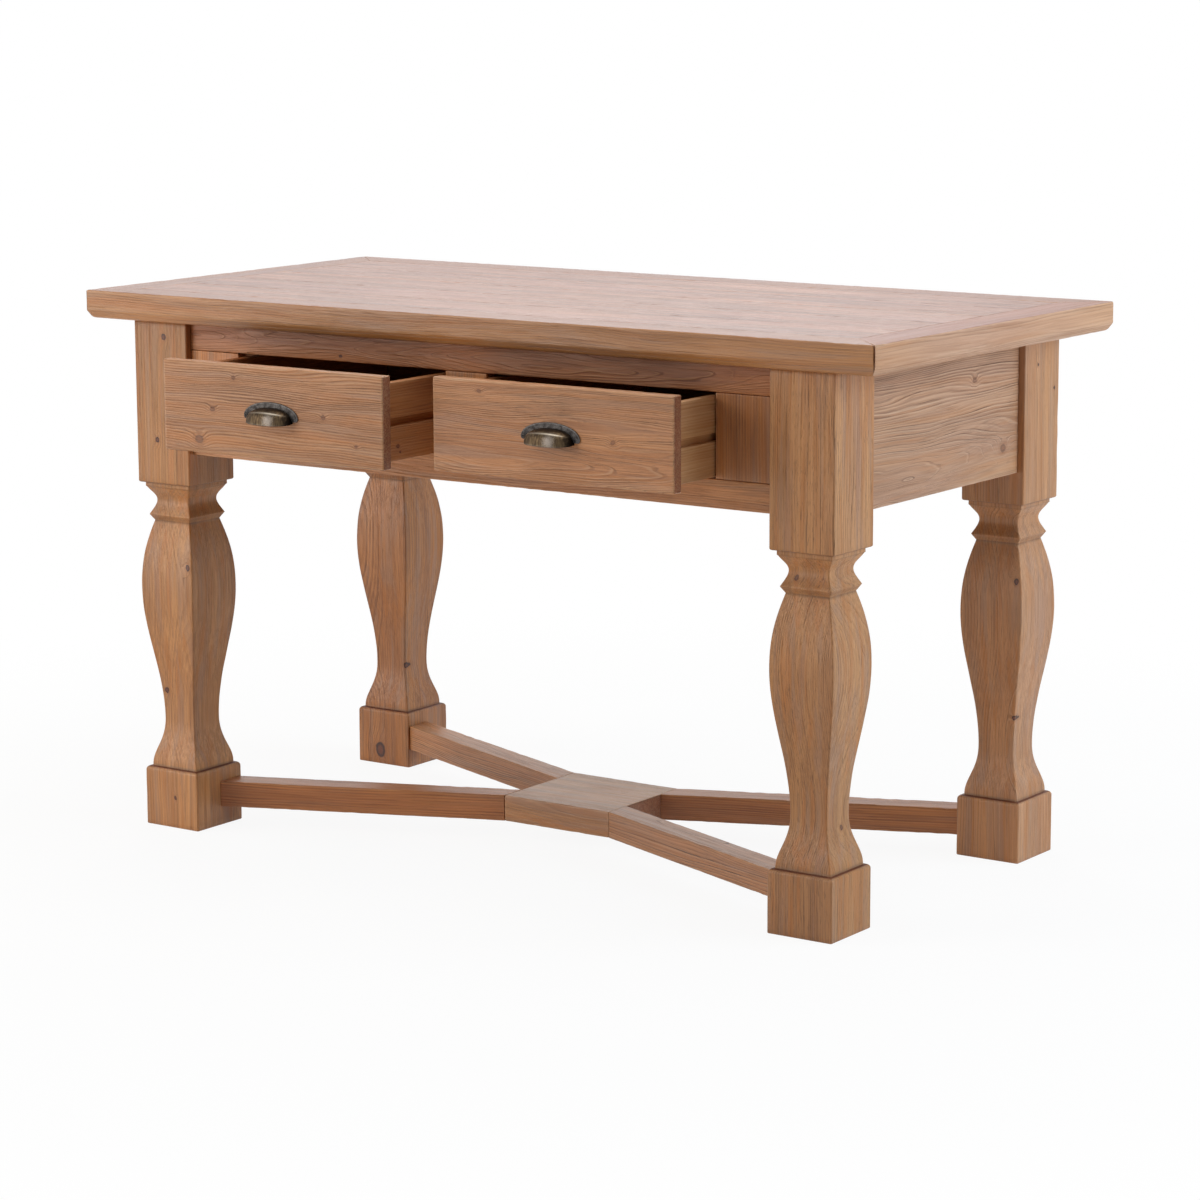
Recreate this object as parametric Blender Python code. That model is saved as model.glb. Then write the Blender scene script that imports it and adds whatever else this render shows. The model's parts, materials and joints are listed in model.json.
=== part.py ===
# Kitchen island: a framed plank top on square baluster legs, with two apron drawers and a crossed stretcher.
# Metres, +Z up, +X along the length, drawers opening towards -Y. Both drawers stand partly open.

import math

import bmesh
import bpy
from mathutils import Vector

# Clearances
SEAT_GAP = 0.0003          # between pieces that touch
DRAWER_SIDE_CLEAR = 0.0025  # drawer box to each side of its opening
DRAWER_TOP_CLEAR = 0.006
DRAWER_BOTTOM_CLEAR = 0.0025
RUNNER_CLEAR = 0.0006      # runner to the groove's floor and lower edge
PANEL_CLEAR = 0.0003       # drawer bottom in its grooves
SCREW_CLEAR = 0.0004       # screw shank in its holes

# Worktop
HEIGHT = 0.900
TOP_LENGTH = 1.514
TOP_DEPTH = 0.737
TOP_THICK = 0.0465
TOP_BORDER = 0.065         # width of the mitred boards round the planks
TOP_PLANKS = 5
TOP_EASE = 0.0012          # rounding of the upper edges
TOP_BEVEL_IN = 0.0075      # soft bevel under the overhang, inwards
TOP_BEVEL_UP = 0.0125      # and upwards
TOP_BEVEL_PULLS = (0.35, 0.40)  # as for the legs' curves
TOP_BEVEL_LEAN = 0.55
END_OVERHANG = 0.0813
FRONT_OVERHANG = 0.0255

# Legs, from the floor up
LEG_BLOCK = 0.1124         # width of the square upper block
LEG_ARRIS = 0.0012         # flat taken off the corners
LEG_ROUND = 0.003          # rounding under the block
FOOT_WIDE = 0.1136
FOOT_TALL = 0.100
FOOT_ROUND = 0.0065        # shoulder of the foot
FOOT_EASE = 0.001          # edge on the floor
FLARE_WIDE = 0.0970        # where the shaft lands on the foot
WAIST_WIDE = 0.0648
BELLY_WIDE = 0.1120
COLLAR_WIDE = 0.0770       # under the bead
BEAD_WIDE = 0.0894
NECK_WIDE = 0.0708
FILLET_WIDE = 0.0966
FLARE_RISE = 0.081         # foot to waist
WAIST_RISE = 0.224         # waist to belly
BELLY_RISE = 0.113         # belly to collar
COLLAR_RISE = 0.010        # collar to the bead's edge
BEAD_FLAT = 0.0012         # blunt edge of the bead
BEAD_RISE = 0.024          # bead to neck
NECK_RISE = 0.023          # neck to fillet
FILLET_RISE = 0.008
# How far each end of a leg's curve keeps its direction, as shares of the curve's rise
FLARE_PULLS = (0.32, 0.50)
WAIST_PULLS = (0.36, 0.34)
BELLY_PULLS = (0.42, 0.32)
BEAD_PULLS = (0.45, 0.28)
NECK_PULLS = (0.40, 0.40)
# Where a slanting end of a curve points, as shares of the step in width
COLLAR_LEAN = 0.62
BEAD_LEAN = 0.62
FILLET_LEAN = 0.42

# Aprons and face frame
APRON_TALL = 0.2185
APRON_THICK = 0.022
APRON_SET_BACK = 0.0112    # behind the legs' outer faces
RAIL_TALL = 0.0445         # rail over the drawers
OPENING_WIDE = 0.422
OPENING_TALL = 0.130
STILE_CENTRE = 0.080
BOARD_EASE = 0.0012

# Strips under the top
BATTEN_WIDE = 0.045
BATTEN_TALL = 0.024
BATTEN_SPREAD = 0.330      # centre batten to each side one
CLEAT_WIDE = 0.024

# Drawer carriage
RUNNER_BOARD_THICK = 0.020
RUNNER_BOARD_TALL = 0.090
RUNNER_TALL = 0.0125
RUNNER_DEEP = 0.008        # how far the groove goes into the drawer's side
RUNNER_BELOW_MIDDLE = 0.0025  # runner's middle under the opening's middle

# Drawers
FRONT_THICK = 0.0205
FRONT_OVERLAP_SIDE = 0.010
FRONT_OVERLAP_TOP = 0.010
FRONT_OVERLAP_BOTTOM = 0.007
FRONT_EASE = 0.0016
SIDE_THICK = 0.015
DRAWER_BACK_THICK = 0.015
DRAWER_BACK_DROP = 0.004   # drawer's back under the top of its sides
PANEL_THICK = 0.006
PANEL_DEEP = 0.006         # groove for the bottom in the sides
PANEL_UP = 0.008           # under the bottom panel
DRAWER_BACK_SPACE = 0.110  # free space behind a closed drawer
PULL_OUT_LEFT = 0.150      # how far each drawer stands open
PULL_OUT_RIGHT = 0.104

# Cup pulls
PULL_WIDE = 0.1085
PULL_TALL = 0.0345
PULL_FLANGE_TOP = 0.0085   # rim lying on the drawer front, over the cup
PULL_FLANGE_SIDE = 0.0105  # and beside it
PULL_FLANGE_THICK = 0.0022
PULL_FLANGE_UP = 0.0060    # rim's ends over the cup's lip
PULL_END_ROUND = 0.0047    # rounded lower corners of the rim
PULL_LIP_RISE = 0.003      # the lip is this much higher at the wall than in front
PULL_REACH = 0.0255        # how far the cup stands out
PULL_WALL = 0.002
PULL_FULLNESS = 2.5        # 2 is an ellipsoid, more is squarer
PULL_SINK = 0.0005         # cup's back inside the rim, so that the two join
SCREW_HEAD_WIDE = 0.0062
SCREW_HEAD_TALL = 0.0019
SCREW_SHANK_WIDE = 0.0026
SCREW_LONG = 0.014
SCREW_UP = 0.0112          # over the cup's lip
SCREW_IN = 0.0056          # from the rim's ends

# Stretcher
STRETCHER_TOP = 0.0756
STRETCHER_TALL = 0.0436
STRETCHER_EASE = 0.0012
HUB_LONG = 0.210
HUB_DEEP = 0.200
ARM_WIDE = 0.047
ARM_INSET = 0.0045         # arm's inner side from the foot's inner corner

# Facets
BEVEL_STEPS = 2
CURVE_STEPS = 10           # on the long curves of a leg
SHORT_CURVE_STEPS = 5
ROUND_STEPS = 3
CORNER_STEPS = 6
OVAL_STEPS = 40
SCREW_SIDES = 16
SHARP_ANGLE = math.radians(35)

# Colours, as sRGB bytes
WARM_PINE = (152, 110, 74)
PALE_PINE = (176, 150, 124)
DRAWER_PINE = (178, 138, 98)
AGED_BRASS = (96, 82, 62)

# Places worked out from the sizes above
top_under = HEIGHT - TOP_THICK
leg_top = top_under - SEAT_GAP
leg_out_x = TOP_LENGTH / 2 - END_OVERHANG
leg_out_y = TOP_DEPTH / 2 - FRONT_OVERHANG
leg_in_x = leg_out_x - LEG_BLOCK
leg_in_y = leg_out_y - LEG_BLOCK
leg_mid_x = leg_out_x - LEG_BLOCK / 2
leg_mid_y = leg_out_y - LEG_BLOCK / 2
apron_x = leg_out_x - APRON_SET_BACK
apron_y = leg_out_y - APRON_SET_BACK
inside_x = apron_x - APRON_THICK - SEAT_GAP
inside_y = apron_y - APRON_THICK - SEAT_GAP
apron_low = top_under - APRON_TALL
opening_high = top_under - RAIL_TALL
opening_low = opening_high - OPENING_TALL
opening_middle = (opening_high + opening_low) / 2
opening_in = STILE_CENTRE / 2
opening_out = opening_in + OPENING_WIDE
opening_centre = (opening_in + opening_out) / 2
runner_middle = opening_middle - RUNNER_BELOW_MIDDLE
runner_high = runner_middle + RUNNER_TALL / 2
runner_low = runner_middle - RUNNER_TALL / 2
drawer_half = OPENING_WIDE / 2 - DRAWER_SIDE_CLEAR
drawer_low = opening_low + DRAWER_BOTTOM_CLEAR
drawer_high = opening_high - DRAWER_TOP_CLEAR
drawer_long = apron_y + inside_y - DRAWER_BACK_SPACE
front_high = opening_high + FRONT_OVERLAP_TOP
front_low = opening_low - FRONT_OVERLAP_BOTTOM
pull_low = (front_high + front_low - PULL_TALL) / 2
frame_face = -apron_y
front_reach = FRONT_THICK + PULL_REACH + 2 * SEAT_GAP
front_most = frame_face - max(PULL_OUT_LEFT, PULL_OUT_RIGHT) - front_reach
depth_middle = (TOP_DEPTH / 2 + front_most) / 2


def linear(byte):
    share = byte / 255
    return share / 12.92 if share <= 0.04045 else ((share + 0.055) / 1.055) ** 2.4


def finish(name, colour, roughness, metallic=0.0):
    material = bpy.data.materials.new(name)
    material.use_nodes = True
    shader = material.node_tree.nodes["Principled BSDF"]
    shader.inputs["Base Color"].default_value = [linear(byte) for byte in colour] + [1.0]
    shader.inputs["Roughness"].default_value = roughness
    shader.inputs["Metallic"].default_value = metallic
    return material


def empty(name, location, parent=None):
    obj = bpy.data.objects.new(name, None)
    obj.location = location
    obj.parent = parent
    bpy.context.scene.collection.objects.link(obj)
    return obj


def place(name, mesh, parent, location, colour, roughness=0.6, metallic=0.0):
    obj = bpy.data.objects.new(name, mesh)
    obj.location = location
    obj.parent = parent
    obj.data.materials.append(finish(name, colour, roughness, metallic))
    bpy.context.scene.collection.objects.link(obj)
    return obj


def mesh_of(name, shape):
    bmesh.ops.recalc_face_normals(shape, faces=shape.faces)
    mesh = bpy.data.meshes.new(name)
    shape.to_mesh(mesh)
    shape.free()
    return mesh


def loft(name, sections):
    """One closed mesh through outlines that all have the same number of points."""
    shape = bmesh.new()
    rings = [[shape.verts.new(point) for point in section] for section in sections]
    for lower, upper in zip(rings, rings[1:]):
        for i in range(len(lower)):
            j = (i + 1) % len(lower)
            shape.faces.new((lower[i], lower[j], upper[j], upper[i]))
    shape.faces.new(rings[0])
    shape.faces.new(rings[-1])
    return mesh_of(name, shape)


def ease(obj, width, steps=BEVEL_STEPS):
    bevel = obj.modifiers.new("eased_edges", "BEVEL")
    bevel.width = width
    bevel.segments = steps
    bevel.limit_method = "ANGLE"
    return obj


def board(name, corner, opposite, parent, colour, edge=BOARD_EASE):
    """A straight piece of wood between two opposite corners, with its edges eased."""
    corner = Vector(corner)
    opposite = Vector(opposite)
    half = (opposite - corner) / 2
    rings = []
    for z in (-half.z, half.z):
        rings.append([(-half.x, -half.y, z), (half.x, -half.y, z), (half.x, half.y, z), (-half.x, half.y, z)])
    obj = place(name, loft(name, rings), parent, (corner + opposite) / 2, colour)
    return ease(obj, edge)


def bezier(start, start_pull, end_pull, end, steps):
    """Points of a cubic curve after its start, each as (half width, height)."""
    points = []
    for step in range(1, steps + 1):
        t = step / steps
        shares = ((1 - t) ** 3, 3 * t * (1 - t) ** 2, 3 * t ** 2 * (1 - t), t ** 3)
        corners = (start, start_pull, end_pull, end)
        points.append(tuple(sum(share * corner[i] for share, corner in zip(shares, corners)) for i in (0, 1)))
    return points


def curve(start, end, pulls, steps, start_lean=0.0, end_lean=0.0):
    """A curve between two (half width, height) points, upright at an end that has no lean."""
    step = end[0] - start[0]
    rise = end[1] - start[1]
    start_pull = (start[0] + start_lean * step, start[1] + pulls[0] * rise)
    end_pull = (end[0] - end_lean * step, end[1] - pulls[1] * rise)
    return bezier(start, start_pull, end_pull, end, steps)


def arc(centre, radius, start, end, steps):
    """Points of a round corner, as (half width, height), with angles in degrees."""
    points = []
    for step in range(steps + 1):
        angle = math.radians(start + (end - start) * step / steps)
        points.append((centre[0] + radius * math.cos(angle), centre[1] + radius * math.sin(angle)))
    return points


def leg_profile():
    """Half width and height of the leg's square section, from the floor up."""
    foot, flare, waist, belly = FOOT_WIDE / 2, FLARE_WIDE / 2, WAIST_WIDE / 2, BELLY_WIDE / 2
    collar, bead, neck, fillet = COLLAR_WIDE / 2, BEAD_WIDE / 2, NECK_WIDE / 2, FILLET_WIDE / 2
    block = LEG_BLOCK / 2
    waist_z = FOOT_TALL + FLARE_RISE
    belly_z = waist_z + WAIST_RISE
    collar_z = belly_z + BELLY_RISE
    bead_z = collar_z + COLLAR_RISE
    neck_z = bead_z + BEAD_RISE
    fillet_z = neck_z + NECK_RISE
    block_z = fillet_z + FILLET_RISE
    points = [(foot - FOOT_EASE, 0.0), (foot, FOOT_EASE)]
    points += arc((foot - FOOT_ROUND, FOOT_TALL - FOOT_ROUND), FOOT_ROUND, 0, 90, ROUND_STEPS)
    points.append((flare, FOOT_TALL + BEAD_FLAT))
    points += curve(points[-1], (waist, waist_z), FLARE_PULLS, CURVE_STEPS)
    points += curve(points[-1], (belly, belly_z), WAIST_PULLS, CURVE_STEPS)
    points += curve(points[-1], (collar, collar_z), BELLY_PULLS, CURVE_STEPS, end_lean=COLLAR_LEAN)
    points += [(bead, bead_z - BEAD_FLAT / 2), (bead, bead_z + BEAD_FLAT / 2)]
    points += curve(points[-1], (neck, neck_z), BEAD_PULLS, SHORT_CURVE_STEPS, start_lean=BEAD_LEAN)
    edge = (fillet - BEAD_FLAT, fillet_z)
    points += curve(points[-1], edge, NECK_PULLS, SHORT_CURVE_STEPS, end_lean=FILLET_LEAN)
    points += [(fillet, fillet_z + BEAD_FLAT), (fillet, block_z)]
    points += arc((block - LEG_ROUND, block_z + LEG_ROUND), LEG_ROUND, -90, 0, ROUND_STEPS)
    points.append((block, leg_top))
    return points


def leg_section(half, z):
    """A square with a small flat on each corner."""
    flat = half - LEG_ARRIS
    corners = ((half, -flat), (half, flat), (flat, half), (-flat, half),
               (-half, flat), (-half, -flat), (-flat, -half), (flat, -half))
    return [(x, y, z) for x, y in corners]


def make_legs(island):
    mesh = loft("leg", [leg_section(half, z) for half, z in leg_profile()])
    mesh.shade_smooth()
    mesh.set_sharp_from_angle(angle=SHARP_ANGLE)
    for depth_name, depth_side in (("front", -1), ("back", 1)):
        for side_name, side in (("left", -1), ("right", 1)):
            place(f"leg_{depth_name}_{side_name}", mesh.copy(), island,
                  (side * leg_mid_x, depth_side * leg_mid_y, 0.0), WARM_PINE)


def border_levels():
    """How far a border board's outer edge is drawn in, and the height of that."""
    start, end = (TOP_BEVEL_IN, top_under), (0.0, top_under + TOP_BEVEL_UP)
    levels = [start] + curve(start, end, TOP_BEVEL_PULLS, ROUND_STEPS, start_lean=TOP_BEVEL_LEAN)
    return levels + [(0.0, HEIGHT - TOP_EASE), (TOP_EASE, HEIGHT)]


def border_sections(long_half, across, mitre_gap):
    """Outlines of a mitred board, as (along, across, height)."""
    sections = []
    inner = across - TOP_BORDER
    inner_half = long_half - TOP_BORDER - mitre_gap
    for inset, z in border_levels():
        outer = across - inset
        outer_half = long_half - inset - mitre_gap
        corners = ((-outer_half, outer), (outer_half, outer), (inner_half, inner), (-inner_half, inner))
        sections.append([(along, width, z) for along, width in corners])
    return sections


def make_border(island):
    """Four mitred boards: the front and back ones give up the clearance at the mitres."""
    sections = border_sections(TOP_LENGTH / 2, TOP_DEPTH / 2, SEAT_GAP * math.sqrt(2))
    for name, side in (("front", -1), ("back", 1)):
        rings = [[(along, side * across, z) for along, across, z in section] for section in sections]
        place(f"top_border_{name}", loft(name, rings), island, (0, 0, 0), PALE_PINE)
    sections = border_sections(TOP_DEPTH / 2, TOP_LENGTH / 2, 0.0)
    for name, side in (("left", -1), ("right", 1)):
        rings = [[(side * across, along, z) for along, across, z in section] for section in sections]
        place(f"top_border_{name}", loft(name, rings), island, (0, 0, 0), PALE_PINE)


def make_planks(island):
    half_long = TOP_LENGTH / 2 - TOP_BORDER - SEAT_GAP
    field_deep = TOP_DEPTH - 2 * TOP_BORDER
    pitch = field_deep / TOP_PLANKS
    for i in range(TOP_PLANKS):
        low_y = -field_deep / 2 + i * pitch + SEAT_GAP / 2
        high_y = low_y + pitch - SEAT_GAP
        if i == 0:
            low_y += SEAT_GAP / 2
        if i == TOP_PLANKS - 1:
            high_y -= SEAT_GAP / 2
        board(f"top_plank_{i + 1}", (-half_long, low_y, top_under), (half_long, high_y, HEIGHT), island,
              PALE_PINE, TOP_EASE)


def side_board(name, outer, thick, low, island, colour):
    """A board from leg to leg at each end of the island."""
    half = leg_in_y - SEAT_GAP
    inner = outer - thick
    board(f"{name}_left", (-outer, -half, low), (-inner, half, leg_top), island, colour)
    board(f"{name}_right", (inner, -half, low), (outer, half, leg_top), island, colour)


def make_strips(island):
    """Battens across the underside of the planks, and cleats along the end aprons."""
    low, high = leg_top - BATTEN_TALL, leg_top
    half = BATTEN_WIDE / 2
    for name, x in (("left", -BATTEN_SPREAD), ("centre", 0.0), ("right", BATTEN_SPREAD)):
        board(f"top_batten_{name}", (x - half, -inside_y, low), (x + half, inside_y, high), island, PALE_PINE)
    side_board("top_cleat", inside_x, CLEAT_WIDE, low, island, PALE_PINE)


def make_aprons(island):
    side_board("apron", apron_x, APRON_THICK, apron_low, island, WARM_PINE)
    half = leg_in_x - SEAT_GAP
    inner = apron_y - APRON_THICK
    board("apron_back", (-half, inner, apron_low), (half, apron_y, leg_top), island, WARM_PINE)


def make_face_frame(island):
    """Two rails from leg to leg, with three stiles between them that leave the drawer openings."""
    half_x = leg_in_x - SEAT_GAP
    face, inner = frame_face, frame_face + APRON_THICK
    board("rail_over_drawers", (-half_x, face, opening_high), (half_x, inner, leg_top), island, WARM_PINE)
    board("rail_under_drawers", (-half_x, face, apron_low), (half_x, inner, opening_low), island, WARM_PINE)
    low, high = opening_low + SEAT_GAP, opening_high - SEAT_GAP
    board("stile_left", (-half_x, face, low), (-opening_out, inner, high), island, WARM_PINE)
    board("stile_centre", (-opening_in, face, low), (opening_in, inner, high), island, WARM_PINE)
    board("stile_right", (opening_out, face, low), (half_x, inner, high), island, WARM_PINE)


def make_carriage(island):
    """Boards from the stiles to the back apron, each with a runner that a drawer's side hangs on."""
    low = runner_middle - RUNNER_BOARD_TALL / 2
    high = runner_middle + RUNNER_BOARD_TALL / 2
    reach = DRAWER_SIDE_CLEAR + RUNNER_DEEP - RUNNER_CLEAR
    edges = (("left_outer", -opening_out, -1), ("left_inner", -opening_in, 1),
             ("right_inner", opening_in, -1), ("right_outer", opening_out, 1))
    for name, edge, away in edges:
        far = edge + away * RUNNER_BOARD_THICK
        board(f"runner_board_{name}", (edge, -inside_y, low), (far, inside_y, high), island, DRAWER_PINE)
        root = (edge - away * SEAT_GAP, -inside_y, runner_low)
        tip = (edge - away * reach, inside_y, runner_high)
        board(f"runner_{name}", root, tip, island, DRAWER_PINE)


def side_outline(outer, inward):
    """Section of a drawer side: a groove outside for the runner, and one inside for the bottom panel."""
    inner = outer + inward * SIDE_THICK
    groove = outer + inward * RUNNER_DEEP
    slot = inner - inward * PANEL_DEEP
    groove_low, groove_high = runner_low - RUNNER_CLEAR, runner_high + SEAT_GAP
    slot_low = drawer_low + PANEL_UP
    slot_high = slot_low + PANEL_THICK + 2 * PANEL_CLEAR
    return ((outer, drawer_low), (outer, groove_low), (groove, groove_low), (groove, groove_high),
            (outer, groove_high), (outer, drawer_high), (inner, drawer_high), (inner, slot_high),
            (slot, slot_high), (slot, slot_low), (inner, slot_low), (inner, drawer_low))


def make_drawer_box(name, slide):
    for side_name, side in (("left", -1), ("right", 1)):
        outline = side_outline(side * drawer_half, -side)
        rings = [[(x, y, z) for x, z in outline] for y in (SEAT_GAP, drawer_long)]
        place(f"{name}_side_{side_name}", loft(side_name, rings), slide, (0, 0, 0), DRAWER_PINE)
    inner = drawer_half - SIDE_THICK
    panel_half = inner + PANEL_DEEP - PANEL_CLEAR
    panel_low = drawer_low + PANEL_UP + PANEL_CLEAR
    panel_high = panel_low + PANEL_THICK
    board(f"{name}_bottom", (-panel_half, SEAT_GAP, panel_low), (panel_half, drawer_long, panel_high), slide,
          DRAWER_PINE, PANEL_CLEAR)
    back_half = inner - SEAT_GAP
    board(f"{name}_back", (-back_half, drawer_long - DRAWER_BACK_THICK, panel_high + SEAT_GAP),
          (back_half, drawer_long, drawer_high - DRAWER_BACK_DROP), slide, DRAWER_PINE)


def cylinder_cutter(name, radius, start, end, parent, location):
    """A hidden round cutter along Y."""
    rings = []
    for y in (start, end):
        angles = [2 * math.pi * i / SCREW_SIDES for i in range(SCREW_SIDES)]
        rings.append([(radius * math.cos(angle), y, radius * math.sin(angle)) for angle in angles])
    obj = bpy.data.objects.new(name, loft(name, rings))
    obj.location = location
    obj.parent = parent
    obj.hide_render = True
    obj.display_type = "WIRE"
    bpy.context.scene.collection.objects.link(obj)
    return obj


def cut(obj, cutter, operation="DIFFERENCE"):
    boolean = obj.modifiers.new(cutter.name, "BOOLEAN")
    boolean.operation = operation
    boolean.object = cutter


def rim_outline():
    """The rim as (x, z): half an oval above its widest points, and rounded corners under them."""
    half = PULL_WIDE / 2
    middle = PULL_FLANGE_UP + PULL_END_ROUND
    points = []
    for step in range(OVAL_STEPS + 1):
        angle = math.pi * step / OVAL_STEPS
        points.append((half * math.cos(angle), middle + (PULL_TALL - middle) * math.sin(angle)))
    corner = half - PULL_END_ROUND
    points += arc((-corner, middle), PULL_END_ROUND, 180, 270, CORNER_STEPS)[1:]
    points += arc((corner, middle), PULL_END_ROUND, 270, 360, CORNER_STEPS)[:-1]
    return points


def full_oval(half_x, half_y, half_z):
    """A sphere drawn out towards a rounded box, then scaled."""
    shape = bmesh.new()
    bmesh.ops.create_uvsphere(shape, u_segments=OVAL_STEPS, v_segments=OVAL_STEPS // 2, radius=1.0)
    for vert in shape.verts:
        reach = sum(abs(value) ** PULL_FULLNESS for value in vert.co) ** (1 / PULL_FULLNESS)
        vert.co = vert.co / reach
    bmesh.ops.scale(shape, vec=(half_x, half_y, half_z), verts=shape.verts)
    return shape


def keep_beyond(shape, point, normal):
    """Cuts a solid by a plane and closes it again."""
    geometry = shape.verts[:] + shape.edges[:] + shape.faces[:]
    found = bmesh.ops.bisect_plane(shape, geom=geometry, plane_co=point, plane_no=normal, clear_inner=True)
    edges = [item for item in found["geom_cut"] if isinstance(item, bmesh.types.BMEdge)]
    bmesh.ops.contextual_create(shape, geom=edges)


def screw_places():
    """Where the screws go through the rim's ends, from the pull's centre."""
    x = PULL_WIDE / 2 - SCREW_IN
    return (("left", -x), ("right", x))


def helper(name, shape):
    obj = bpy.data.objects.new(name, mesh_of(name, shape))
    obj.hide_render = True
    obj.display_type = "WIRE"
    bpy.context.scene.collection.objects.link(obj)
    return obj


def cup_pull_mesh():
    """A rim that lies on the drawer front, and a cup open at the back and below. -Y is outwards."""
    rim = loft("rim", [[(x, y, z) for x, z in rim_outline()] for y in (0.0, -PULL_FLANGE_THICK)])
    cup_half, cup_rise = PULL_WIDE / 2 - PULL_FLANGE_SIDE, PULL_TALL - PULL_FLANGE_TOP
    outside = full_oval(cup_half, PULL_REACH, cup_rise)
    keep_beyond(outside, (0, 0, PULL_LIP_RISE), (0, -PULL_LIP_RISE / PULL_REACH, 1))
    keep_beyond(outside, (0, -PULL_SINK, 0), (0, -1, 0))
    inside = full_oval(cup_half - PULL_WALL, PULL_REACH - PULL_WALL, cup_rise - PULL_WALL)
    pull = bpy.data.objects.new("pull", rim)
    bpy.context.scene.collection.objects.link(pull)
    helpers = [helper("cup_outside", outside), helper("cup_inside", inside)]
    cut(pull, helpers[0], "UNION")
    cut(pull, helpers[1])
    hole = SCREW_SHANK_WIDE / 2 + SCREW_CLEAR
    for name, x in screw_places():
        helpers.append(cylinder_cutter(name, hole, -PULL_REACH, PULL_REACH, None, (x, 0, SCREW_UP)))
        cut(pull, helpers[-1])
    graph = bpy.context.evaluated_depsgraph_get()
    mesh = bpy.data.meshes.new_from_object(pull.evaluated_get(graph))
    for obj in [pull] + helpers:
        bpy.data.objects.remove(obj)
    mesh.shade_smooth()
    mesh.set_sharp_from_angle(angle=SHARP_ANGLE)
    return mesh


def screw_mesh():
    """A domed head in front of its shank, turned about Y."""
    head, shank = SCREW_HEAD_WIDE / 2, SCREW_SHANK_WIDE / 2
    profile = [(shank, SCREW_LONG), (shank, 0.0), (head, 0.0)]
    for step in range(1, ROUND_STEPS + 1):
        angle = math.radians(90 * step / (ROUND_STEPS + 1))
        profile.append((head * math.cos(angle), -SCREW_HEAD_TALL * math.sin(angle)))
    rings = []
    for radius, y in profile:
        angles = [2 * math.pi * i / SCREW_SIDES for i in range(SCREW_SIDES)]
        rings.append([(radius * math.cos(angle), y, radius * math.sin(angle)) for angle in angles])
    mesh = loft("screw", rings)
    mesh.shade_smooth()
    mesh.set_sharp_from_angle(angle=SHARP_ANGLE)
    return mesh


def make_drawer_front(name, slide, pull_mesh):
    half = OPENING_WIDE / 2 + FRONT_OVERLAP_SIDE
    low, high = (-half, -FRONT_THICK, front_low), (half, 0.0, front_high)
    front = board(f"{name}_front", low, high, slide, WARM_PINE, FRONT_EASE)
    face = -FRONT_THICK - SEAT_GAP
    place(f"{name}_cup_pull", pull_mesh.copy(), slide, (0, face, pull_low), AGED_BRASS, 0.35, 1.0)
    hole = SCREW_SHANK_WIDE / 2 + SCREW_CLEAR
    seat = face - PULL_FLANGE_THICK - SEAT_GAP
    screw = screw_mesh()
    for side_name, x in screw_places():
        at = (x, seat, pull_low + SCREW_UP)
        place(f"{name}_pull_screw_{side_name}", screw.copy(), slide, at, AGED_BRASS, 0.35, 1.0)
        cutter = cylinder_cutter(f"{name}_hole_{side_name}", hole, 0.0, SCREW_LONG + SCREW_CLEAR, slide, at)
        cut(front, cutter)


def make_drawers(island):
    pull_mesh = cup_pull_mesh()
    for name, x, pull_out in (("drawer_left", -opening_centre, PULL_OUT_LEFT),
                              ("drawer_right", opening_centre, PULL_OUT_RIGHT)):
        slide = empty(f"{name}_slide", (x, frame_face - SEAT_GAP - pull_out, 0.0), island)
        make_drawer_front(name, slide, pull_mesh)
        make_drawer_box(name, slide)


def arm_outline():
    """Plan of the arm at +X, +Y: from the hub's end face to the foot's inner face."""
    foot_in_x, foot_in_y = leg_mid_x - FOOT_WIDE / 2, leg_mid_y - FOOT_WIDE / 2
    near_x, far_x = HUB_LONG / 2 + SEAT_GAP, foot_in_x - SEAT_GAP
    run, climb = far_x - near_x, foot_in_y + ARM_INSET - HUB_DEEP / 2
    angle = math.atan2(climb, run) + math.asin(ARM_WIDE / math.hypot(run, climb))
    span = ARM_WIDE / math.cos(angle)
    near_y, far_y = HUB_DEEP / 2, foot_in_y + ARM_INSET + span
    return [(near_x, near_y - span), (far_x, far_y - span), (far_x, far_y), (near_x, near_y)]


def make_stretcher(island):
    low, high = STRETCHER_TOP - STRETCHER_TALL, STRETCHER_TOP
    board("stretcher_hub", (-HUB_LONG / 2, -HUB_DEEP / 2, low), (HUB_LONG / 2, HUB_DEEP / 2, high), island,
          WARM_PINE, STRETCHER_EASE)
    for depth_name, depth_side in (("front", -1), ("back", 1)):
        for side_name, side in (("left", -1), ("right", 1)):
            rings = [[(side * x, depth_side * y, z) for x, y in arm_outline()] for z in (low, high)]
            name = f"stretcher_arm_{depth_name}_{side_name}"
            ease(place(name, loft(name, rings), island, (0, 0, 0), WARM_PINE), STRETCHER_EASE)


def main():
    for obj in list(bpy.data.objects):
        bpy.data.objects.remove(obj)
    island = empty("island", (0.0, -depth_middle, 0.0))
    make_border(island)
    make_planks(island)
    make_strips(island)
    make_legs(island)
    make_aprons(island)
    make_face_frame(island)
    make_carriage(island)
    make_drawers(island)
    make_stretcher(island)


main()
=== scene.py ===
import json
import math
import zlib
from functools import partial

import bpy
import numpy as np
from mathutils import Matrix, Vector

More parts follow.
